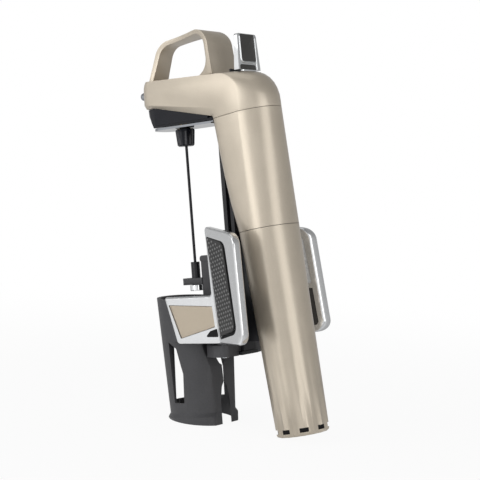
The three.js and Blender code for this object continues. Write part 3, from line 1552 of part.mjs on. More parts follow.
// Tube
add('upper_body', makeUpperBody(), champagne);
add('regulator_body', makeRegulator(), aluminium);
add('regulator_cap', makeRegulatorCap(), brass);
add('regulator_piston', makePiston(), brass);
add('regulator_spring', makeRegulatorSpring(), steel);
add('piercing_pin', makePiercingPin(), steel);
add('capsule_seal', makeCapsuleSeal(), rubber);
add('gas_capsule', makeCapsule(), steel);
add('capsule_cup', makeCup(), champagne);
add('cup_pad', makeCupPad(), rubber);

// Rail and carriage
add('rail', makeRail(), black);
add('rail_screw_upper', makeRailScrew(railScrewUpper), steel);
add('rail_screw_lower', makeRailScrew(railScrewLower), steel);
add('rail_stop', makeRailStop(), black);
add('carriage', makeCarriage(), charcoal);
add('neck_saddle', makeSaddle(), rubber);
add('guide_post', makePost(), charcoal);
add('needle_guide', makeGuide(), black);
add('guide_ferrule', makeFerrule(), chrome);

// Levers
addPair('lever', makeLever(), chrome);
addPair('grip_pad', makePad(), rubber);
addPair('side_plate', makeBadge(), champagne);
addPair('jaw', makeJaw(), charcoal);
addPair('jaw_liner', makeLiner(), rubber);
addPair('lever_pin', makeLeverPin(), steel);
addPair('lever_spring', makeLeverSpring(), steel);

// Stand the whole on the floor, with zero under the middle of its outline
const dispenser = new THREE.Group();
dispenser.add(device);
dispenser.updateMatrixWorld(true);
const bounds = new THREE.Box3().setFromObject(dispenser, true);
const middle = bounds.getCenter(new THREE.Vector3());
device.position.set(0, -middle.y, -bounds.min.z);

export default dispenser;
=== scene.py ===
"""The look of the wine preservation dispenser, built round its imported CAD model."""

import math

import bmesh
import bpy
from mathutils import Matrix, Vector


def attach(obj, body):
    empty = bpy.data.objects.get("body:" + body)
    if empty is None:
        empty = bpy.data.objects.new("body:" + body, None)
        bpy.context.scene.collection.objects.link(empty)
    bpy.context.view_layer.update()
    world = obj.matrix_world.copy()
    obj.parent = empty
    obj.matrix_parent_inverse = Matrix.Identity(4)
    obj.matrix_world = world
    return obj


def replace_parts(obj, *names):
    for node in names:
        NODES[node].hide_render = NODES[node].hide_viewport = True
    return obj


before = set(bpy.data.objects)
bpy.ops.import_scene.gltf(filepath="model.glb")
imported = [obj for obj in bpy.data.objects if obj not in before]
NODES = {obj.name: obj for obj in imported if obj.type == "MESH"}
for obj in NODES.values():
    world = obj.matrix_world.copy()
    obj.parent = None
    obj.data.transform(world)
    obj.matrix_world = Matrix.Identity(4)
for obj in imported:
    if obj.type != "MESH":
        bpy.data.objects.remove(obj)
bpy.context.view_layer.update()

# Camera, fitted to the needle, the tube's seams and the sleeve
CAMERA_PLACE = Vector((0.6199, 0.4886, 0.1837))
CAMERA_RIGHT = Vector((-0.6157, 0.7869, 0.0426))
CAMERA_BACK = Vector((0.7865, 0.6103, 0.0942))
LENS_MM = 101.25
SENSOR_MM = 36.0
CLIP_START = 0.01


def make_camera():
    data = bpy.data.cameras.new("camera")
    data.lens = LENS_MM
    data.sensor_width = SENSOR_MM
    data.clip_start = CLIP_START
    camera = bpy.data.objects.new("camera", data)
    back = CAMERA_BACK.normalized()
    right = (CAMERA_RIGHT - back * CAMERA_RIGHT.dot(back)).normalized()
    up = back.cross(right)
    turn = Matrix((right, up, back)).transposed().to_4x4()
    camera.matrix_world = Matrix.Translation(CAMERA_PLACE) @ turn
    bpy.context.scene.collection.objects.link(camera)
    bpy.context.scene.camera = camera


# Shader nodes shared by the materials, the floor and the world
def tree_of(name):
    material = bpy.data.materials.new(name)
    material.use_nodes = True
    tree = material.node_tree
    tree.nodes.clear()
    return material, tree


def linear(srgb):
    """The sRGB curve, undone."""
    return tuple(c / 12.92 if c <= 0.04045 else ((c + 0.055) / 1.055) ** 2.4 for c in srgb)


def greys(stops):
    return [(position, (level,) * 3) for position, level in stops]


def math_node(tree, operation, first, second=0.0, third=0.0):
    node = tree.nodes.new("ShaderNodeMath")
    node.operation = operation
    for socket, value in zip(node.inputs, (first, second, third)):
        if isinstance(value, (int, float)):
            socket.default_value = value
        else:
            tree.links.new(value, socket)
    return node.outputs[0]


def vector_node(tree, operation, vector, other=(0, 0, 0)):
    node = tree.nodes.new("ShaderNodeVectorMath")
    node.operation = operation
    tree.links.new(vector, node.inputs[0])
    node.inputs[1].default_value = other
    return node


def mixed(tree, share, first, second):
    """Two shaders mixed by a share of the second."""
    node = tree.nodes.new("ShaderNodeMixShader")
    for socket, value in zip(node.inputs, (share, first, second)):
        tree.links.new(value, socket)
    return node.outputs[0]


def noise(tree, scale, detail, rough, stretch=None):
    place = tree.nodes.new("ShaderNodeTexCoord")
    texture = tree.nodes.new("ShaderNodeTexNoise")
    texture.inputs["Scale"].default_value = scale
    texture.inputs["Detail"].default_value = detail
    texture.inputs["Roughness"].default_value = rough
    vector = place.outputs["Object"]
    if stretch:
        mapping = tree.nodes.new("ShaderNodeMapping")
        mapping.inputs["Scale"].default_value = stretch
        tree.links.new(vector, mapping.inputs["Vector"])
        vector = mapping.outputs["Vector"]
    tree.links.new(vector, texture.inputs["Vector"])
    return texture.outputs["Fac"]


def ramp(tree, value, stops):
    node = tree.nodes.new("ShaderNodeValToRGB")
    elements = node.color_ramp.elements
    while len(elements) < len(stops):
        elements.new(0.5)
    for element, (position, colour) in zip(elements, stops):
        element.position = position
        element.color = (*colour, 1)
    tree.links.new(value, node.inputs["Fac"])
    return node.outputs["Color"]


def bump(tree, value, strength, distance):
    node = tree.nodes.new("ShaderNodeBump")
    node.inputs["Strength"].default_value = strength
    node.inputs["Distance"].default_value = distance
    tree.links.new(value, node.inputs["Height"])
    return node.outputs["Normal"]


# Materials: a broad and a fine noise vary each one's colour, gloss and relief
BROAD_DETAIL, BROAD_ROUGH = 2.0, 0.55
FINE_DETAIL, FINE_ROUGH = 4.0, 0.6
FINE_SHARE = 0.6
COLOUR_SPAN = (0.35, 0.65)
GLOSS_SPAN = (0.3, 0.7)


def finish_material(name, colour, spread, rough, grain, grain_depth, grain_strength, metallic=0.0,
                    wave=60.0, coat=0.0, coat_rough=0.1, specular=0.5, sheen=0.0, stretch=None):
    material, tree = tree_of(name)
    out = tree.nodes.new("ShaderNodeOutputMaterial")
    shader = tree.nodes.new("ShaderNodeBsdfPrincipled")
    tree.links.new(shader.outputs["BSDF"], out.inputs["Surface"])
    low = linear(tuple(max(0, c - spread) for c in colour))
    high = linear(tuple(min(1, c + spread) for c in colour))
    broad = noise(tree, wave, BROAD_DETAIL, BROAD_ROUGH)
    fine = noise(tree, grain, FINE_DETAIL, FINE_ROUGH, stretch)
    both = math_node(tree, "MULTIPLY_ADD", fine, FINE_SHARE,
                     math_node(tree, "MULTIPLY", broad, 1 - FINE_SHARE))
    shown = ramp(tree, both, list(zip(COLOUR_SPAN, (low, high))))
    tree.links.new(shown, shader.inputs["Base Color"])
    tree.links.new(ramp(tree, broad, greys(zip(GLOSS_SPAN, rough))), shader.inputs["Roughness"])
    tree.links.new(bump(tree, fine, grain_strength, grain_depth), shader.inputs["Normal"])
    shader.inputs["Metallic"].default_value = metallic
    shader.inputs["Specular IOR Level"].default_value = specular
    shader.inputs["Coat Weight"].default_value = coat
    shader.inputs["Coat Roughness"].default_value = coat_rough
    shader.inputs["Sheen Weight"].default_value = sheen
    return material


MATERIALS = {
    "champagne": dict(
        colour=(0.80, 0.757, 0.69), spread=0.022, metallic=0.46, rough=(0.31, 0.36),
        grain=2600, grain_depth=0.00002, grain_strength=0.35, coat=0.15, coat_rough=0.25,
    ),
    "plate": dict(
        colour=(0.77, 0.72, 0.645), spread=0.015, metallic=0.45, rough=(0.38, 0.44),
        grain=2200, grain_depth=0.00002, grain_strength=0.3,
    ),
    "chrome": dict(
        colour=(0.90, 0.905, 0.91), spread=0.01, metallic=1.0, rough=(0.06, 0.10),
        grain=700, grain_depth=0.00001, grain_strength=0.05, wave=90,
    ),
    "lever_chrome": dict(
        colour=(0.90, 0.905, 0.91), spread=0.01, metallic=0.8, rough=(0.06, 0.10),
        grain=700, grain_depth=0.00001, grain_strength=0.05, wave=90,
    ),
    "dark_chrome": dict(
        colour=(0.62, 0.63, 0.65), spread=0.01, metallic=1.0, rough=(0.08, 0.12),
        grain=700, grain_depth=0.00001, grain_strength=0.05,
    ),
    # smoke: the trigger's panels, and on the lever's lower pocket a painted dark reflection
    "smoke": dict(
        colour=(0.27, 0.265, 0.26), spread=0.01, rough=(0.16, 0.22),
        grain=900, grain_depth=0.00001, grain_strength=0.1, specular=0.35,
    ),
    # Near-white sheet in the lever's upper pocket: a painted reflection of the white backdrop
    "satin": dict(
        colour=(0.93, 0.935, 0.94), spread=0.01, metallic=0.3, rough=(0.24, 0.30),
        grain=1500, grain_depth=0.00001, grain_strength=0.1,
    ),
    # dot: the pad's rubber in a lighter grey, a painted highlight on the lozenges
    "dot": dict(
        colour=(0.50, 0.50, 0.50), spread=0.02, rough=(0.38, 0.46),
        grain=2400, grain_depth=0.00003, grain_strength=0.3, specular=0.45,
    ),
    "dark_rubber": dict(
        colour=(0.13, 0.13, 0.135), spread=0.015, rough=(0.60, 0.70),
        grain=2400, grain_depth=0.00005, grain_strength=0.5, specular=0.3,
    ),
    "charcoal": dict(
        colour=(0.29, 0.29, 0.30), spread=0.02, rough=(0.46, 0.54),
        grain=1800, grain_depth=0.00005, grain_strength=0.4, specular=0.4,
    ),
    "gloss_black": dict(
        colour=(0.08, 0.085, 0.12), spread=0.01, rough=(0.10, 0.16),
        grain=1500, grain_depth=0.00001, grain_strength=0.1, specular=0.3,
    ),
    "black": dict(
        colour=(0.12, 0.12, 0.135), spread=0.012, rough=(0.30, 0.38),
        grain=1600, grain_depth=0.00003, grain_strength=0.3, specular=0.4,
    ),
    "rubber": dict(
        colour=(0.20, 0.20, 0.20), spread=0.02, rough=(0.50, 0.58),
        grain=2400, grain_depth=0.00005, grain_strength=0.5, specular=0.35, sheen=0.05,
    ),
    # Near-black fill of the pad's channel, the lever's corner window and the cup's notches: painted
    # shade in these hollows
    "groove": dict(
        colour=(0.07, 0.07, 0.075), spread=0.01, rough=(0.60, 0.70),
        grain=2400, grain_depth=0.00004, grain_strength=0.4, specular=0.2,
    ),
    "steel": dict(
        colour=(0.72, 0.73, 0.74), spread=0.02, metallic=1.0, rough=(0.20, 0.28),
        grain=1500, grain_depth=0.00001, grain_strength=0.2, stretch=(1, 1, 0.05),
    ),
    "needle_coat": dict(
        colour=(0.16, 0.16, 0.17), spread=0.01, metallic=0.7, rough=(0.22, 0.30),
        grain=1500, grain_depth=0.00001, grain_strength=0.1, specular=0.3,
    ),
    "brass": dict(
        colour=(0.80, 0.68, 0.42), spread=0.02, metallic=1.0, rough=(0.22, 0.30),
        grain=1500, grain_depth=0.00001, grain_strength=0.2, stretch=(0.1, 0.1, 1),
    ),
    "aluminium": dict(
        colour=(0.78, 0.785, 0.79), spread=0.02, metallic=1.0, rough=(0.28, 0.36),
        grain=1500, grain_depth=0.00001, grain_strength=0.2, stretch=(0.1, 0.1, 1),
    ),
}
MADE = {name: finish_material(name, **look) for name, look in MATERIALS.items()}

# Nodes that are shown as they are, by finish
FINISH_OF = {
    "champagne": ["head_shell", "loop_handle", "upper_body"],
    "chrome": ["trigger", "guide_ferrule"],
    "dark_chrome": ["base_plate", "spout"],
    "charcoal": ["carriage", "guide_post", "jaw_left", "jaw_right"],
    "dark_rubber": ["neck_saddle", "jaw_liner_left", "jaw_liner_right"],
    "gloss_black": ["underside_cover", "needle_knob"],
    "black": ["outlet_block", "trigger_boot", "rail", "rail_stop", "needle_guide"],
    "rubber": ["capsule_seal", "cup_pad"],
    "steel": ["gas_line", "trigger_pin", "valve_spring", "regulator_spring",
              "piercing_pin", "gas_capsule", "rail_screw_upper", "rail_screw_lower",
              "lever_pin_left", "lever_pin_right", "lever_spring_left", "lever_spring_right"],
    "needle_coat": ["needle"],
    "brass": ["needle_socket", "valve_stem", "regulator_cap", "regulator_piston"],
    "aluminium": ["valve_block", "regulator_body"],
}
# Widths of the rounded edges, in metres
BEVEL = {
    "loop_handle": 0.0011, "head_shell": 0.0006, "trigger": 0.0006, "jaw_left": 0.0003,
    "jaw_right": 0.0003, "carriage": 0.0004, "guide_post": 0.0004,
}
BEVEL_SEGMENTS = 3
BEVEL_ANGLE = math.radians(40)
SMOOTH_ANGLE = math.radians(32)
WELD_REACH = 0.00001


def smooth_group():
    """A small node tool that keeps the creases sharp after the weld."""
    group = bpy.data.node_groups.new("smooth_angle", "GeometryNodeTree")
    for way in ("INPUT", "OUTPUT"):
        group.interface.new_socket("Geometry", in_out=way, socket_type="NodeSocketGeometry")
    make = group.nodes.new
    start, end = make("NodeGroupInput"), make("NodeGroupOutput")
    angle = make("GeometryNodeInputMeshEdgeAngle")
    less = make("FunctionNodeCompare")
    less.data_type = "FLOAT"
    less.operation = "LESS_EQUAL"
    less.inputs[1].default_value = SMOOTH_ANGLE
    smooth = make("GeometryNodeSetShadeSmooth")
    smooth.domain = "EDGE"
    link = group.links.new
    link(start.outputs[0], smooth.inputs["Geometry"])
    link(angle.outputs["Unsigned Angle"], less.inputs[0])
    link(less.outputs[0], smooth.inputs["Shade Smooth"])
    link(smooth.outputs[0], end.inputs[0])
    return group


SMOOTH = smooth_group()


def shade(piece, finish):
    piece.data.materials.clear()
    piece.data.materials.append(MADE[finish])
    piece.data.shade_smooth()
    piece.modifiers.new("smooth", "NODES").node_group = SMOOTH


def dress():
    for finish, names in FINISH_OF.items():
        for name in names:
            node = NODES[name]
            weld = node.modifiers.new("weld", "WELD")
            weld.merge_threshold = WELD_REACH
            if name in BEVEL:
                bevel = node.modifiers.new("bevel", "BEVEL")
                bevel.width = BEVEL[name]
                bevel.segments = BEVEL_SEGMENTS
                bevel.limit_method = "ANGLE"
                bevel.angle_limit = BEVEL_ANGLE
                bevel.use_clamp_overlap = True
            shade(node, finish)


# The needle's frame, in millimetres, in which the CAD draws every piece
MM_IN_METRE = 1000
LEAN = math.radians(8.6)
STAND_Y, STAND_Z = -25.748, 93.224


def place(x, y, z):
    across = y * math.cos(LEAN) - z * math.sin(LEAN) + STAND_Y
    height = y * math.sin(LEAN) + z * math.cos(LEAN) + STAND_Z
    return Vector((x, across, height)) / MM_IN_METRE


def unplace(point):
    x, across, height = point * MM_IN_METRE
    across -= STAND_Y
    height -= STAND_Z
    return Vector((x, across * math.cos(LEAN) + height * math.sin(LEAN),
                   height * math.cos(LEAN) - across * math.sin(LEAN)))


def finish_piece(name, mesh, body, finish):
    piece = bpy.data.objects.new(name, mesh)
    bpy.context.scene.collection.objects.link(piece)
    shade(piece, finish)
    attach(piece, body)
    return piece


def make_piece(name, points, faces, body, slot, finish):
    """A piece from points in the needle's frame."""
    mesh = bpy.data.meshes.new(name)
    mesh.from_pydata([tuple(place(*point)) for point in points], [], faces)
    mesh.validate()
    return finish_piece(name, mesh, body, finish)


def welded(node):
    """A copy of a node's mesh to work on, with its double points joined."""
    work = bmesh.new()
    work.from_mesh(NODES[node].data)
    bmesh.ops.remove_doubles(work, verts=work.verts, dist=WELD_REACH)
    return work


CORNER_STEPS = 6


def rounded(corners):
    """Points of an outline whose corners (a, b, radius) are rounded, in order."""
    points = []
    count = len(corners)
    for i, (a, b, radius) in enumerate(corners):
        here = Vector((a, b))
        before = (Vector(corners[i - 1][:2]) - here).normalized()
        after = (Vector(corners[(i + 1) % count][:2]) - here).normalized()
        half = before.angle(after) / 2
        centre = here + (before + after).normalized() * (radius / math.sin(half))
        first = here + before * (radius / math.tan(half)) - centre
        last = here + after * (radius / math.tan(half)) - centre
        for step in range(CORNER_STEPS + 1):
            points.append(centre + first.lerp(last, step / CORNER_STEPS).normalized() * radius)
    return points


def banded(rings, closed=False):
    """Faces between closed rings of equal length; the ends are capped, or joined if closed."""
    size = len(rings[0])
    faces = []
    pairs = list(zip(range(len(rings)), range(1, len(rings))))
    if closed:
        pairs.append((len(rings) - 1, 0))
    for low, high in pairs:
        for i in range(size):
            j = (i + 1) % size
            faces.append((low * size + i, low * size + j, high * size + j, high * size + i))
    if not closed:
        faces.append(tuple(range(size))[::-1])
        faces.append(tuple(range((len(rings) - 1) * size, len(rings) * size)))
    return [point for ring in rings for point in ring], faces


def joined(shapes):
    """The points and faces of several shapes, as those of one mesh."""
    points, faces = [], []
    for shape_points, shape_faces in shapes:
        base = len(points)
        points += shape_points
        faces += [tuple(base + i for i in face) for face in shape_faces]
    return points, faces


def edge_distance(point, outline):
    """How far a point of the side view is from an outline."""
    nearest = math.inf
    for i, end in enumerate(outline):
        start = outline[i - 1]
        run = end - start
        share = min(max((point - start).dot(run) / run.length_squared, 0), 1)
        nearest = min(nearest, (point - start - run * share).length)
    return nearest


def inside(point, outline):
    """Whether a point of the side view is within an outline that turns one way."""
    turns = {(end - outline[i - 1]).cross(point - outline[i - 1]) > 0
             for i, end in enumerate(outline)}
    return len(turns) == 1


# Levers: the wing's outer face is ruled from a crease to its rear edge, the blade's up to the crease
WING_LOW_Z, WING_HIGH_Z = -48, 24
BLADE_FRONT = (26.0, -11.0)
CREASE_LOW, CREASE_HIGH = (28.8, 38.0), (27.2, 31.0)
REAR_LOW, REAR_HIGH = (45.1, 69.2), (40.2, 63.2)
RECESS = 2.0
LEVER_CORNERS = ((-4.2, -19.2, 1.4), (4.2, -46.8, 2.6), (66.6, -46.8, 6.5),
                 (62.0, 14.7, 8.0), (31.0, 20.3, 1.6), (33.0, -19.2, 1.6))
PLATE_CORNERS = ((-0.3, -24.1, 0.4), (7.9, -43.3, 0.4), (34.7, -36.9, 0.4), (33.3, -25.5, 0.4))


def plane_x(first, second, third, y, z):
    """Where the plane through three points stands at (y, z)."""
    normal = (second - first).cross(third - first)
    return first.x - (normal.y * (y - first.y) + normal.z * (z - first.z)) / normal.x


def ruled_at(y, z):
    """At (y, z): x of the ruled face, of the solid's folded outer face and of the fold that its
    recess floor follows, and the run of the ruling line."""
    share = (z - WING_LOW_Z) / (WING_HIGH_Z - WING_LOW_Z)
    crease = Vector(CREASE_LOW).lerp(Vector(CREASE_HIGH), share)
    if y > crease.y:
        near_low, near_high, far_low, far_high = CREASE_LOW, CREASE_HIGH, REAR_LOW, REAR_HIGH
        start, end = crease, Vector(REAR_LOW).lerp(Vector(REAR_HIGH), share)
    else:
        near_low, near_high, far_low, far_high = BLADE_FRONT, BLADE_FRONT, CREASE_LOW, CREASE_HIGH
        start, end = Vector(BLADE_FRONT), crease
    ruled = start.x + (y - start.y) / (end.y - start.y) * (end.x - start.x)
    near_low, far_low = Vector((*near_low, WING_LOW_Z)), Vector((*far_low, WING_LOW_Z))
    near_high, far_high = Vector((*near_high, WING_HIGH_Z)), Vector((*far_high, WING_HIGH_Z))
    outer = max(plane_x(near_low, near_high, far_high, y, z),
                plane_x(near_low, far_low, far_high, y, z))
    inner = min(plane_x(near_high, far_low, near_low, y, z),
                plane_x(near_high, far_low, far_high, y, z))
    return ruled, outer, inner, end - start


def wing_point(y, z, proud, side):
    """The point of the lever's outer face at (y, z), pushed outwards."""
    ruled, _, _, run = ruled_at(y, z)
    out = Vector((run.y, -run.x)).normalized() * proud
    return (side * (ruled + out.x), y + out.y, z)


def wing_rings(outlines, side):
    """Rings on the lever from pairs of an outline in side view and how far it stands proud."""
    rings = [[wing_point(y, z, proud, side) for y, z in outline] for outline, proud in outlines]
    return [ring[::-1] for ring in rings] if side > 0 else rings


def unfolded(point):
    """Moves a point of the lever's solids from their folded faces to the smooth ruled ones."""
    side = 1 if point.x > 0 else -1
    x = abs(point.x)
    ruled, outer, inner, _ = ruled_at(point.y, point.z)
    floor = inner - RECESS
    if x >= outer:
        x += ruled - outer
    elif x <= floor:
        x += ruled - inner
    else:
        x = ruled - RECESS + (x - floor) / (outer - floor) * RECESS
    return Vector((side * x, point.y, point.z))


# Grip pad in side view, and the channel below and behind it
PAD_CORNERS = {"front_top": (32.6, 14.6), "front_low": (39.4, -42.6),
               "rear_low": (58.2, -38.6), "rear_top": (50.4, 10.6)}
PAD_RADII = {"front_top": 0.8, "front_low": 0.8, "rear_low": 4.4, "rear_top": 5.4}
PAD_CHANNEL = 1.6
PAD_PROUD = 0.4
PAD_INSET = 0.3
GROOVE_UNDER, GROOVE_OVER = 0.2, 0.15


def pad_outline(grow, channel=0.0):
    """The pad's outline in side view, grown outwards, and by the channel below and behind."""
    front_top, front_low = PAD_CORNERS["front_top"], PAD_CORNERS["front_low"]
    rear_low, rear_top = PAD_CORNERS["rear_low"], PAD_CORNERS["rear_top"]
    wider, front_wider = grow + channel, max(grow, 0)
    return rounded([
        (front_top[0] - grow, front_top[1] + grow, PAD_RADII["front_top"] + front_wider),
        (front_low[0] - grow, front_low[1] - wider, PAD_RADII["front_low"] + front_wider),
        (rear_low[0] + wider, rear_low[1] - wider, PAD_RADII["rear_low"] + grow + channel / 2),
        (rear_top[0] + wider, rear_top[1] + grow, PAD_RADII["rear_top"] + grow),
    ])


# Copies that stand for the lever's nodes: node, piece, slot, finish, outline, and the rounded
# rim's width in metres and its segments
REFINED = (
    ("lever", "lever_frame", "chrome", "lever_chrome", rounded(LEVER_CORNERS), 0.0015, 4),
    ("grip_pad", "pad_base", "rubber", "rubber", pad_outline(-PAD_INSET), 0.0003, 2),
    ("side_plate", "plate_face", "champagne", "plate", rounded(PLATE_CORNERS), 0.0002, 2),
)
# An edge of the rim is this near the outline, in millimetres
RIM_REACH = 0.5
# Folds flatter than this, in radians, are dissolved; edges longer than this, in metres, are cut
FLAT_ANGLE = 0.01
REFINE_LENGTH = 0.004
REFINE_ROUNDS = 8


def on_rim(edge, outline):
    ends = [unplace(vertex.co) for vertex in edge.verts]
    return all(edge_distance(Vector((end.y, end.z)), outline) < RIM_REACH for end in ends)


def make_refined(node, name, body, slot, finish, outline, width, segments):
    """A piece that stands for a node of the lever: rounded rim, fine mesh and no folds."""
    work = welded(node)
    bmesh.ops.dissolve_limit(work, angle_limit=FLAT_ANGLE, verts=work.verts, edges=work.edges)
    rim = [edge for edge in work.edges
           if len(edge.link_faces) == 2 and edge.calc_face_angle() > BEVEL_ANGLE
           and on_rim(edge, outline)]
    bmesh.ops.bevel(work, geom=rim, offset=width, segments=segments, profile=0.5,
                    affect="EDGES", clamp_overlap=False)
    for _ in range(REFINE_ROUNDS):
        bmesh.ops.triangulate(work, faces=work.faces)
        long = [edge for edge in work.edges if edge.calc_length() > REFINE_LENGTH]
        if not long:
            break
        bmesh.ops.subdivide_edges(work, edges=long, cuts=1)
    bmesh.ops.triangulate(work, faces=work.faces)
    for vertex in work.verts:
        vertex.co = place(*unfolded(unplace(vertex.co)))
    mesh = bpy.data.meshes.new(name)
    work.to_mesh(mesh)
    work.free()
    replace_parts(finish_piece(name, mesh, body, finish), node)


# Lozenges of the grip pad, in rows that rise to the rear
DOT_ACROSS, DOT_DOWN, DOT_RISE = 2.7, 2.26, 0.2
DOT_ROWS, DOT_COLUMNS, DOT_START = 29, 8, 0.6
DOT_HALF_WIDTH, DOT_HALF_LENGTH = 0.85, 0.80
DOT_MARGIN = 0.9
DOT_SIDES, DOT_PINCH = 8, 0.80
# Share of the full size, and height above the pad
DOT_RINGS = ((1.0, -0.2), (0.94, 0.08), (0.66, 0.26), (0.28, 0.36))


def dot_rings(middle, side):
    """Rings of one lozenge, from its foot in the pad to its rounded top."""
    rings = []
    for size, height in DOT_RINGS:
        ring = []
        for i in range(DOT_SIDES):
            turn = 2 * math.pi * i / DOT_SIDES
            reach = size * (DOT_PINCH if i % 2 else 1)
            y = middle.x + math.cos(turn) * DOT_HALF_WIDTH * reach
            z = middle.y + math.sin(turn) * DOT_HALF_LENGTH * reach
            ring.append(wing_point(y, z, PAD_PROUD + height, side))
        rings.append(ring if side > 0 else ring[::-1])
    return rings


def make_grip_dots(name, side, body):
    outline = pad_outline(-PAD_INSET)
    top_y, top_z = PAD_CORNERS["front_top"]
    low_y, low_z = PAD_CORNERS["front_low"]
    slope = (low_y - top_y) / (low_z - top_z)
    dots = []
    for row in range(DOT_ROWS):
        drop = row * DOT_DOWN
        shift = DOT_ACROSS / 2 if row % 2 else 0.0
        for column in range(DOT_COLUMNS):
            run = DOT_START + shift + column * DOT_ACROSS
            middle = Vector((top_y - slope * drop + run, top_z - drop + DOT_RISE * run))
            if inside(middle, outline) and edge_distance(middle, outline) >= DOT_MARGIN:
                dots.append(banded(dot_rings(middle, side)))
    # The dot finish's lighter grey paints the lozenges' highlights
    make_piece(name, *joined(dots), body, "rubber", "dot")


def make_pad_channel_shade(name, side, body):
    """Dark fill in the channel round the pad: painted shade in the gap between pad and frame."""
    inner, outer = pad_outline(-GROOVE_UNDER), pad_outline(GROOVE_OVER, PAD_CHANNEL)
    rings = wing_rings([(inner, -RECESS), (outer, -RECESS), (outer, -RECESS / 2),
                        (inner, -RECESS / 2)], side)
    make_piece(name, *banded(rings, closed=True), body, "rubber", "groove")


# Small window below the side plate, in side view, filled with a near-black plate: painted shade in
# the window
WINDOW = ((36.5, -38.0, 0.6), (37.2, -42.8, 0.6), (27.4, -42.8, 0.6), (31.0, -39.4, 0.6))
WINDOW_PROUD = 0.03
# Insets of the two pockets on the wing's inner face: from and to how deep below the outer face
# The low pocket's grey sheet is a painted dark reflection, the high pocket's near-white sheet a
# painted reflection of the white backdrop
POCKET_LOW = ((42.5, -20.5, 0.4), (42.5, -42.3, 0.4), (62.1, -42.3, 2.2), (60.2, -20.5, 0.4))
POCKET_HIGH = ((42.5, 13.7, 0.4), (42.5, -17.5, 0.4), (60.0, -17.5, 0.4), (57.5, 10.8, 3.6))
POCKET_FACE, POCKET_BACK = 3.0, 5.2


def make_inset(name, corners, first, last, side, body, slot, finish):
    """A plate with the outline of the corners, between two heights on the lever's outer face."""
    outline = rounded(corners)
    rings = wing_rings([(outline, first), (outline, last)], side)
    make_piece(name, *banded(rings), body, slot, finish)


def make_lever(side, hand):
    body = f"lever_{hand}_body"
    for node, name, *look in REFINED:
        make_refined(f"{node}_{hand}", f"{name}_{hand}", body, *look)
    make_grip_dots(f"grip_dots_{hand}", side, body)
    make_pad_channel_shade(f"pad_channel_shade_{hand}", side, body)
    make_inset(f"corner_window_shade_{hand}", WINDOW, -RECESS, WINDOW_PROUD, side, body,
               "gloss_black", "groove")
    # Pocket sheets: painted dark reflection below, painted white reflection above
    make_inset(f"pocket_low_dark_reflection_{hand}", POCKET_LOW, -POCKET_FACE, -POCKET_BACK, side, body,
               "gloss_black", "smoke")
    make_inset(f"pocket_high_white_reflection_{hand}", POCKET_HIGH, -POCKET_FACE, -POCKET_BACK, side, body,
               "chrome", "satin")


# Cup: a turned copy with deeper flutes, lower notches and a drawn-in foot, in the tube's frame
TUBE_TILT = math.radians(6.35)
SEAT_Y, SEAT_Z = 57.35, 16.5
CUP_TURN = math.radians(17.5)
CUP_TOP_RADIUS, CUP_FOOT_RADIUS, CUP_WALL = 17.35, 15.1, 1.2
FLUTES, FLUTE_EXTRA, FLUTE_TOP = 16, 0.4, -20.0
FOOT_BAND, FOOT_TUCK = 1.0, 0.7
NOTCHES, NOTCH_LOW, NOTCH_TOP, NOTCH_DROP = 8, 3.4, 5.95, 1.3
DROP_END = 12.0
# Height above the foot in the solid, and in the copy
NOTCH_HEIGHTS = ((0.0, 0.0), (NOTCH_LOW, NOTCH_LOW - NOTCH_DROP),
                 (NOTCH_TOP, NOTCH_TOP - NOTCH_DROP), (DROP_END, DROP_END))
INSET_WIDTH, INSET_HEIGHT, INSET_GAP = 5.3, 2.4, 0.05
INSET_RADII = (13.4, 13.95)
INSET_CORNERS = ((-0.5, 1), (0.5, 1), (0.5, 0), (-0.5, 0))


def from_tube(x, v, t):
    """From the tube's frame, with v to the rear and t up along it, to the needle's."""
    return Vector((x, SEAT_Y + v * math.cos(TUBE_TILT) - t * math.sin(TUBE_TILT),
                   SEAT_Z + v * math.sin(TUBE_TILT) + t * math.cos(TUBE_TILT)))


def to_tube(point):
    across, height = point.y - SEAT_Y, point.z - SEAT_Z
    return Vector((point.x, across * math.cos(TUBE_TILT) + height * math.sin(TUBE_TILT),
                   height * math.cos(TUBE_TILT) - across * math.sin(TUBE_TILT)))


def lowered(height):
    """Height above the foot after the notches are brought nearer to it."""
    for (low, new_low), (high, new_high) in zip(NOTCH_HEIGHTS, NOTCH_HEIGHTS[1:]):
        if low <= height <= high:
            return new_low + (height - low) / (high - low) * (new_high - new_low)
    return height


def fluted(radius, angle, t, foot):
    """Radius of a point on the cup's outside, with the deeper flutes and the drawn-in foot."""
    share = min(max((FLUTE_TOP - t) / (FLUTE_TOP - foot - NOTCH_LOW), 0), 1)
    share = share * share * (3 - 2 * share)
    radius -= FLUTE_EXTRA * share * abs(math.sin((angle + math.pi / 2) * FLUTES / 2))
    return radius - FOOT_TUCK if t - foot < FOOT_BAND else radius


def make_cup():
    work = welded("capsule_cup")
    foot = min(to_tube(unplace(vertex.co)).z for vertex in work.verts)
    for vertex in work.verts:
        x, v, t = to_tube(unplace(vertex.co))
        radius, angle = math.hypot(x, v), math.atan2(v, x)
        wall = CUP_TOP_RADIUS + (CUP_FOOT_RADIUS - CUP_TOP_RADIUS) * t / foot
        if radius > wall - CUP_WALL:
            radius = fluted(radius, angle, t, foot)
        angle += CUP_TURN
        t = foot + lowered(t - foot)
        vertex.co = place(*from_tube(radius * math.cos(angle), radius * math.sin(angle), t))
    mesh = bpy.data.meshes.new("cup_shell")
    work.to_mesh(mesh)
    work.free()
    shell = finish_piece("cup_shell", mesh, "cup_body", "champagne")
    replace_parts(shell, "capsule_cup")
    make_notch_insets(foot + NOTCH_LOW - NOTCH_DROP + INSET_GAP)


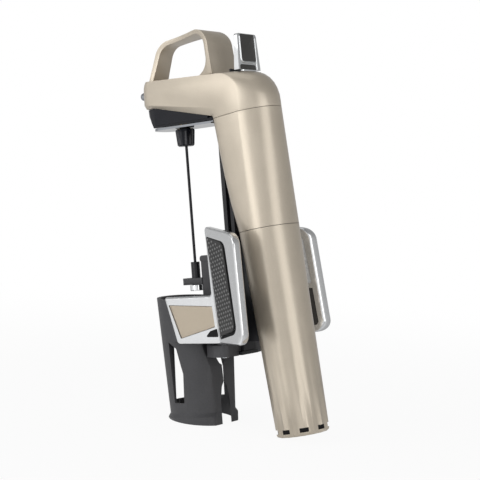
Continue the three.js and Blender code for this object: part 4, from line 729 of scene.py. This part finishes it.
def make_notch_insets(low):
    """Dark plates inside the cup's notches, one for every two flutes and midway between them:
    painted shade in the notches' hollows.
    """
    insets = []
    for i in range(NOTCHES):
        turn = 2 * math.pi * i / NOTCHES + CUP_TURN - 2 * math.pi / FLUTES
        rings = []
        for radius in INSET_RADII:
            ring = []
            for aside, height in INSET_CORNERS:
                x, v = aside * INSET_WIDTH, -radius
                ring.append(from_tube(x * math.cos(turn) - v * math.sin(turn),
                                      x * math.sin(turn) + v * math.cos(turn),
                                      low + height * INSET_HEIGHT))
            rings.append(ring)
        insets.append(banded(rings))
    make_piece("cup_notch_shade", *joined(insets), "cup_body", "black", "groove")


# Trigger: a dark panel, a bright bead round it that is open at the top, a lower panel and a band
TRIGGER_FOOT_Y, TRIGGER_TOP_Y = 52.0, 51.32
TRIGGER_FOOT_Z, TRIGGER_TOP_Z = 108.2, 129.3
THUMB_PANEL = ((6.3, 129.0, 0.5), (6.5, 113.3, 2.2), (-6.7, 113.3, 1.0), (-6.3, 129.0, 0.5))
THUMB_DEPTH, THUMB_PROUD = 0.9, 0.28
SILL_PANEL = ((8.6, 111.4, 1.4), (8.9, 108.5, 0.3), (-6.0, 108.5, 0.3), (-5.8, 111.4, 1.6))
SILL_DEPTH, SILL_PROUD = 0.6, 0.2
PANEL_SOFT, PANEL_EASE = 0.25, 0.3
BEAD_TOP = ((6.95, 127.6), (6.95, 121.0), (7.0, 115.0))
BEAD_FOOT = ((0.0, 112.55), (-6.0, 112.55))
BEAD_TURN, BEAD_TURN_STEPS = 2.4, 6
BEAD_TAPER, BEAD_WIDTH, BEAD_HEIGHT = (0.5, 0.9), 1.0, 0.5
BAND_PATH = ((-7.45, 127.0), (-7.6, 120.0), (-7.75, 113.0), (-7.9, 108.6))
BAND_WIDTHS, BAND_HEIGHT = (0.8, 1.7, 2.0, 2.4), 0.45
BEAD_ARC_STEPS, BEAD_SINK, BEAD_ROOT = 8, 0.02, 0.3


def trigger_point(x, z, proud):
    share = (z - TRIGGER_FOOT_Z) / (TRIGGER_TOP_Z - TRIGGER_FOOT_Z)
    return (x, TRIGGER_FOOT_Y + (TRIGGER_TOP_Y - TRIGGER_FOOT_Y) * share + proud, z)


def make_panel(name, corners, depth, proud):
    """Flat inlay on the trigger's rear face, with softened edges."""
    outline = rounded(corners)
    middle = sum(outline, Vector((0, 0))) / len(outline)

    def ring(shrink, height):
        return [trigger_point(*(point - (point - middle).normalized() * shrink), height)
                for point in outline]

    ease = PANEL_SOFT * PANEL_EASE
    rings = [ring(0, -depth), ring(0, proud - PANEL_SOFT), ring(ease, proud - ease),
             ring(PANEL_SOFT, proud)]
    return make_piece(name, *banded(rings), "trigger_body", "dark_chrome", "smoke")


def make_bead(name, path, widths, height):
    """Half-round bead along a path of (x, z) on the trigger's rear face."""
    rings = []
    for i, (x, z) in enumerate(path):
        before, after = Vector(path[max(i - 1, 0)]), Vector(path[min(i + 1, len(path) - 1)])
        along = (after - before).normalized()
        reach = Vector((-along.y, along.x)) * widths[i] / 2
        ring = []
        for step in range(BEAD_ARC_STEPS + 1):
            turn = math.pi * step / BEAD_ARC_STEPS
            aside = reach * math.cos(turn)
            ring.append(trigger_point(x + aside.x, z + aside.y,
                                      math.sin(turn) * height - BEAD_SINK))
        ring.append(trigger_point(x - reach.x, z - reach.y, -BEAD_ROOT))
        ring.append(trigger_point(x + reach.x, z + reach.y, -BEAD_ROOT))
        rings.append(ring)
    make_piece(name, *banded(rings), "trigger_body", "chrome", "chrome")


def make_trigger_face():
    panel = make_panel("thumb_panel", THUMB_PANEL, THUMB_DEPTH, THUMB_PROUD)
    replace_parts(panel, "thumb_pad")
    make_panel("trigger_sill", SILL_PANEL, SILL_DEPTH, SILL_PROUD)
    side_x, turn_z = BEAD_TOP[-1]
    corner = []
    for step in range(1, BEAD_TURN_STEPS + 1):
        turn = math.pi / 2 * step / BEAD_TURN_STEPS
        corner.append((side_x - BEAD_TURN * (1 - math.cos(turn)),
                       turn_z - BEAD_TURN * math.sin(turn)))
    path = [*BEAD_TOP, *corner, *BEAD_FOOT]
    widths = [*BEAD_TAPER, *[BEAD_WIDTH] * (len(path) - len(BEAD_TAPER))]
    make_bead("trigger_bead", path, widths, BEAD_HEIGHT)
    make_bead("trigger_band", BAND_PATH, BAND_WIDTHS, BAND_HEIGHT)


# Studio: metal sees a grey tone that depends on direction, and the camera sees white
TONE_AZIMUTH = math.radians(-15)
TONE_AXIS = (math.cos(TONE_AZIMUTH), math.sin(TONE_AZIMUTH), 0)
# Grey levels: the tone's from against the axis at 0 to along it at 1, the sky's from the horizon up
TONE = ((0.02, 0.42), (0.30, 0.72), (0.50, 0.60), (0.70, 0.55), (0.86, 0.95), (0.97, 1.0))
SKY = ((0.10, 1.0), (0.45, 0.62), (0.95, 0.30))
SKY_STRENGTH = 0.62
WHITE = (1, 1, 1, 1)
FLOOR_SIZE = 12.0
FLOOR_COLOUR = (0.9, 0.9, 0.9, 1)
# Share of the tone, rather than of the lit floor, that metal sees in the floor
FLOOR_SHINE = 0.9
# How white the floor is to the camera, near the object and far from it, and at which distances: the
# lower share near the object paints a faint shade round it, and lets the floor's real shadow show
# there
FADE_NEAR, FADE_FAR = 0.93, 1.0
FADE_START, FADE_END = 0.12, 0.60


def sky(tree, unit):
    """Grey level by height, darker overhead."""
    split = tree.nodes.new("ShaderNodeSeparateXYZ")
    tree.links.new(unit, split.inputs[0])
    return ramp(tree, split.outputs["Z"], greys(SKY))


def tone(tree, vector):
    """Grey level by azimuth, the same on the floor and on the world."""
    unit = vector_node(tree, "NORMALIZE", vector).outputs["Vector"]
    along = vector_node(tree, "DOT_PRODUCT", unit, TONE_AXIS).outputs["Value"]
    share = math_node(tree, "MULTIPLY_ADD", along, 0.5, 0.5)
    return math_node(tree, "MULTIPLY", ramp(tree, share, greys(TONE)), sky(tree, unit))


def seen_by_metal(tree, path):
    return math_node(tree, "MAXIMUM", path.outputs["Is Glossy Ray"],
                     path.outputs["Is Transmission Ray"])


def make_floor():
    bpy.ops.mesh.primitive_plane_add(size=FLOOR_SIZE, location=(0, 0, 0))
    floor = bpy.context.object
    floor.name = "floor"
    material, tree = tree_of("floor")
    out = tree.nodes.new("ShaderNodeOutputMaterial")
    matte = tree.nodes.new("ShaderNodeBsdfDiffuse")
    matte.inputs["Color"].default_value = FLOOR_COLOUR
    glow = tree.nodes.new("ShaderNodeEmission")
    path = tree.nodes.new("ShaderNodeLightPath")
    spot = tree.nodes.new("ShaderNodeNewGeometry").outputs["Position"]
    fade = tree.nodes.new("ShaderNodeMapRange")
    fade.interpolation_type = "SMOOTHSTEP"
    fade.inputs["From Min"].default_value = FADE_START
    fade.inputs["From Max"].default_value = FADE_END
    fade.inputs["To Min"].default_value = FADE_NEAR
    fade.inputs["To Max"].default_value = FADE_FAR
    tree.links.new(vector_node(tree, "LENGTH", spot).outputs["Value"], fade.inputs["Value"])
    metal = seen_by_metal(tree, path)
    bare = math_node(tree, "MULTIPLY", path.outputs["Is Camera Ray"], fade.outputs[0])
    share = math_node(tree, "MULTIPLY_ADD", metal, FLOOR_SHINE, bare)
    blend = tree.nodes.new("ShaderNodeMix")
    blend.data_type = "RGBA"
    tree.links.new(metal, blend.inputs["Factor"])
    plain, toned = [socket for socket in blend.inputs if socket.type == "RGBA"]
    plain.default_value = WHITE
    tree.links.new(tone(tree, spot), toned)
    result = [socket for socket in blend.outputs if socket.type == "RGBA"][0]
    tree.links.new(result, glow.inputs["Color"])
    tree.links.new(mixed(tree, share, matte.outputs[0], glow.outputs[0]), out.inputs["Surface"])
    floor.data.materials.append(material)


def make_world():
    world = bpy.data.worlds.new("studio")
    bpy.context.scene.world = world
    world.use_nodes = True
    tree = world.node_tree
    tree.nodes.clear()
    out = tree.nodes.new("ShaderNodeOutputWorld")
    soft, metal, white = (tree.nodes.new("ShaderNodeBackground") for _ in range(3))
    way = tree.nodes.new("ShaderNodeTexCoord").outputs["Generated"]
    path = tree.nodes.new("ShaderNodeLightPath")
    soft.inputs["Strength"].default_value = SKY_STRENGTH
    tree.links.new(sky(tree, way), soft.inputs["Color"])
    tree.links.new(tone(tree, way), metal.inputs["Color"])
    white.inputs["Color"].default_value = WHITE
    unseen = mixed(tree, seen_by_metal(tree, path), soft.outputs[0], metal.outputs[0])
    seen = mixed(tree, path.outputs["Is Camera Ray"], unseen, white.outputs[0])
    tree.links.new(seen, out.inputs["Surface"])


# Lamps: name, place, width and height in metres, and power in watts; all of them face the object
CENTRE = Vector((0.0, 0.01, 0.11))
LAMPS = (
    ("left_soft", (1.13, -0.22, 0.35), (0.55, 0.9), 3.1),
    ("top_soft", (0.1, -0.2, 1.1), (0.9, 0.9), 1.4),
    ("right_soft", (0.38, 1.03, 0.35), (0.65, 0.9), 2.8),
    ("side_soft", (0.85, -0.72, 0.68), (0.6, 0.7), 1.5),
)


def make_lamp(name, spot, size, power):
    data = bpy.data.lights.new(name, "AREA")
    data.shape = "RECTANGLE"
    data.size, data.size_y = size
    data.energy = power
    lamp = bpy.data.objects.new(name, data)
    lamp.location = spot
    lamp.rotation_euler = (CENTRE - Vector(spot)).to_track_quat("-Z", "Y").to_euler()
    bpy.context.scene.collection.objects.link(lamp)


bpy.context.scene.view_settings.view_transform = "Standard"
make_camera()
make_floor()
make_world()
for lamp in LAMPS:
    make_lamp(*lamp)
dress()
make_lever(1, "left")
make_lever(-1, "right")
make_cup()
make_trigger_face()
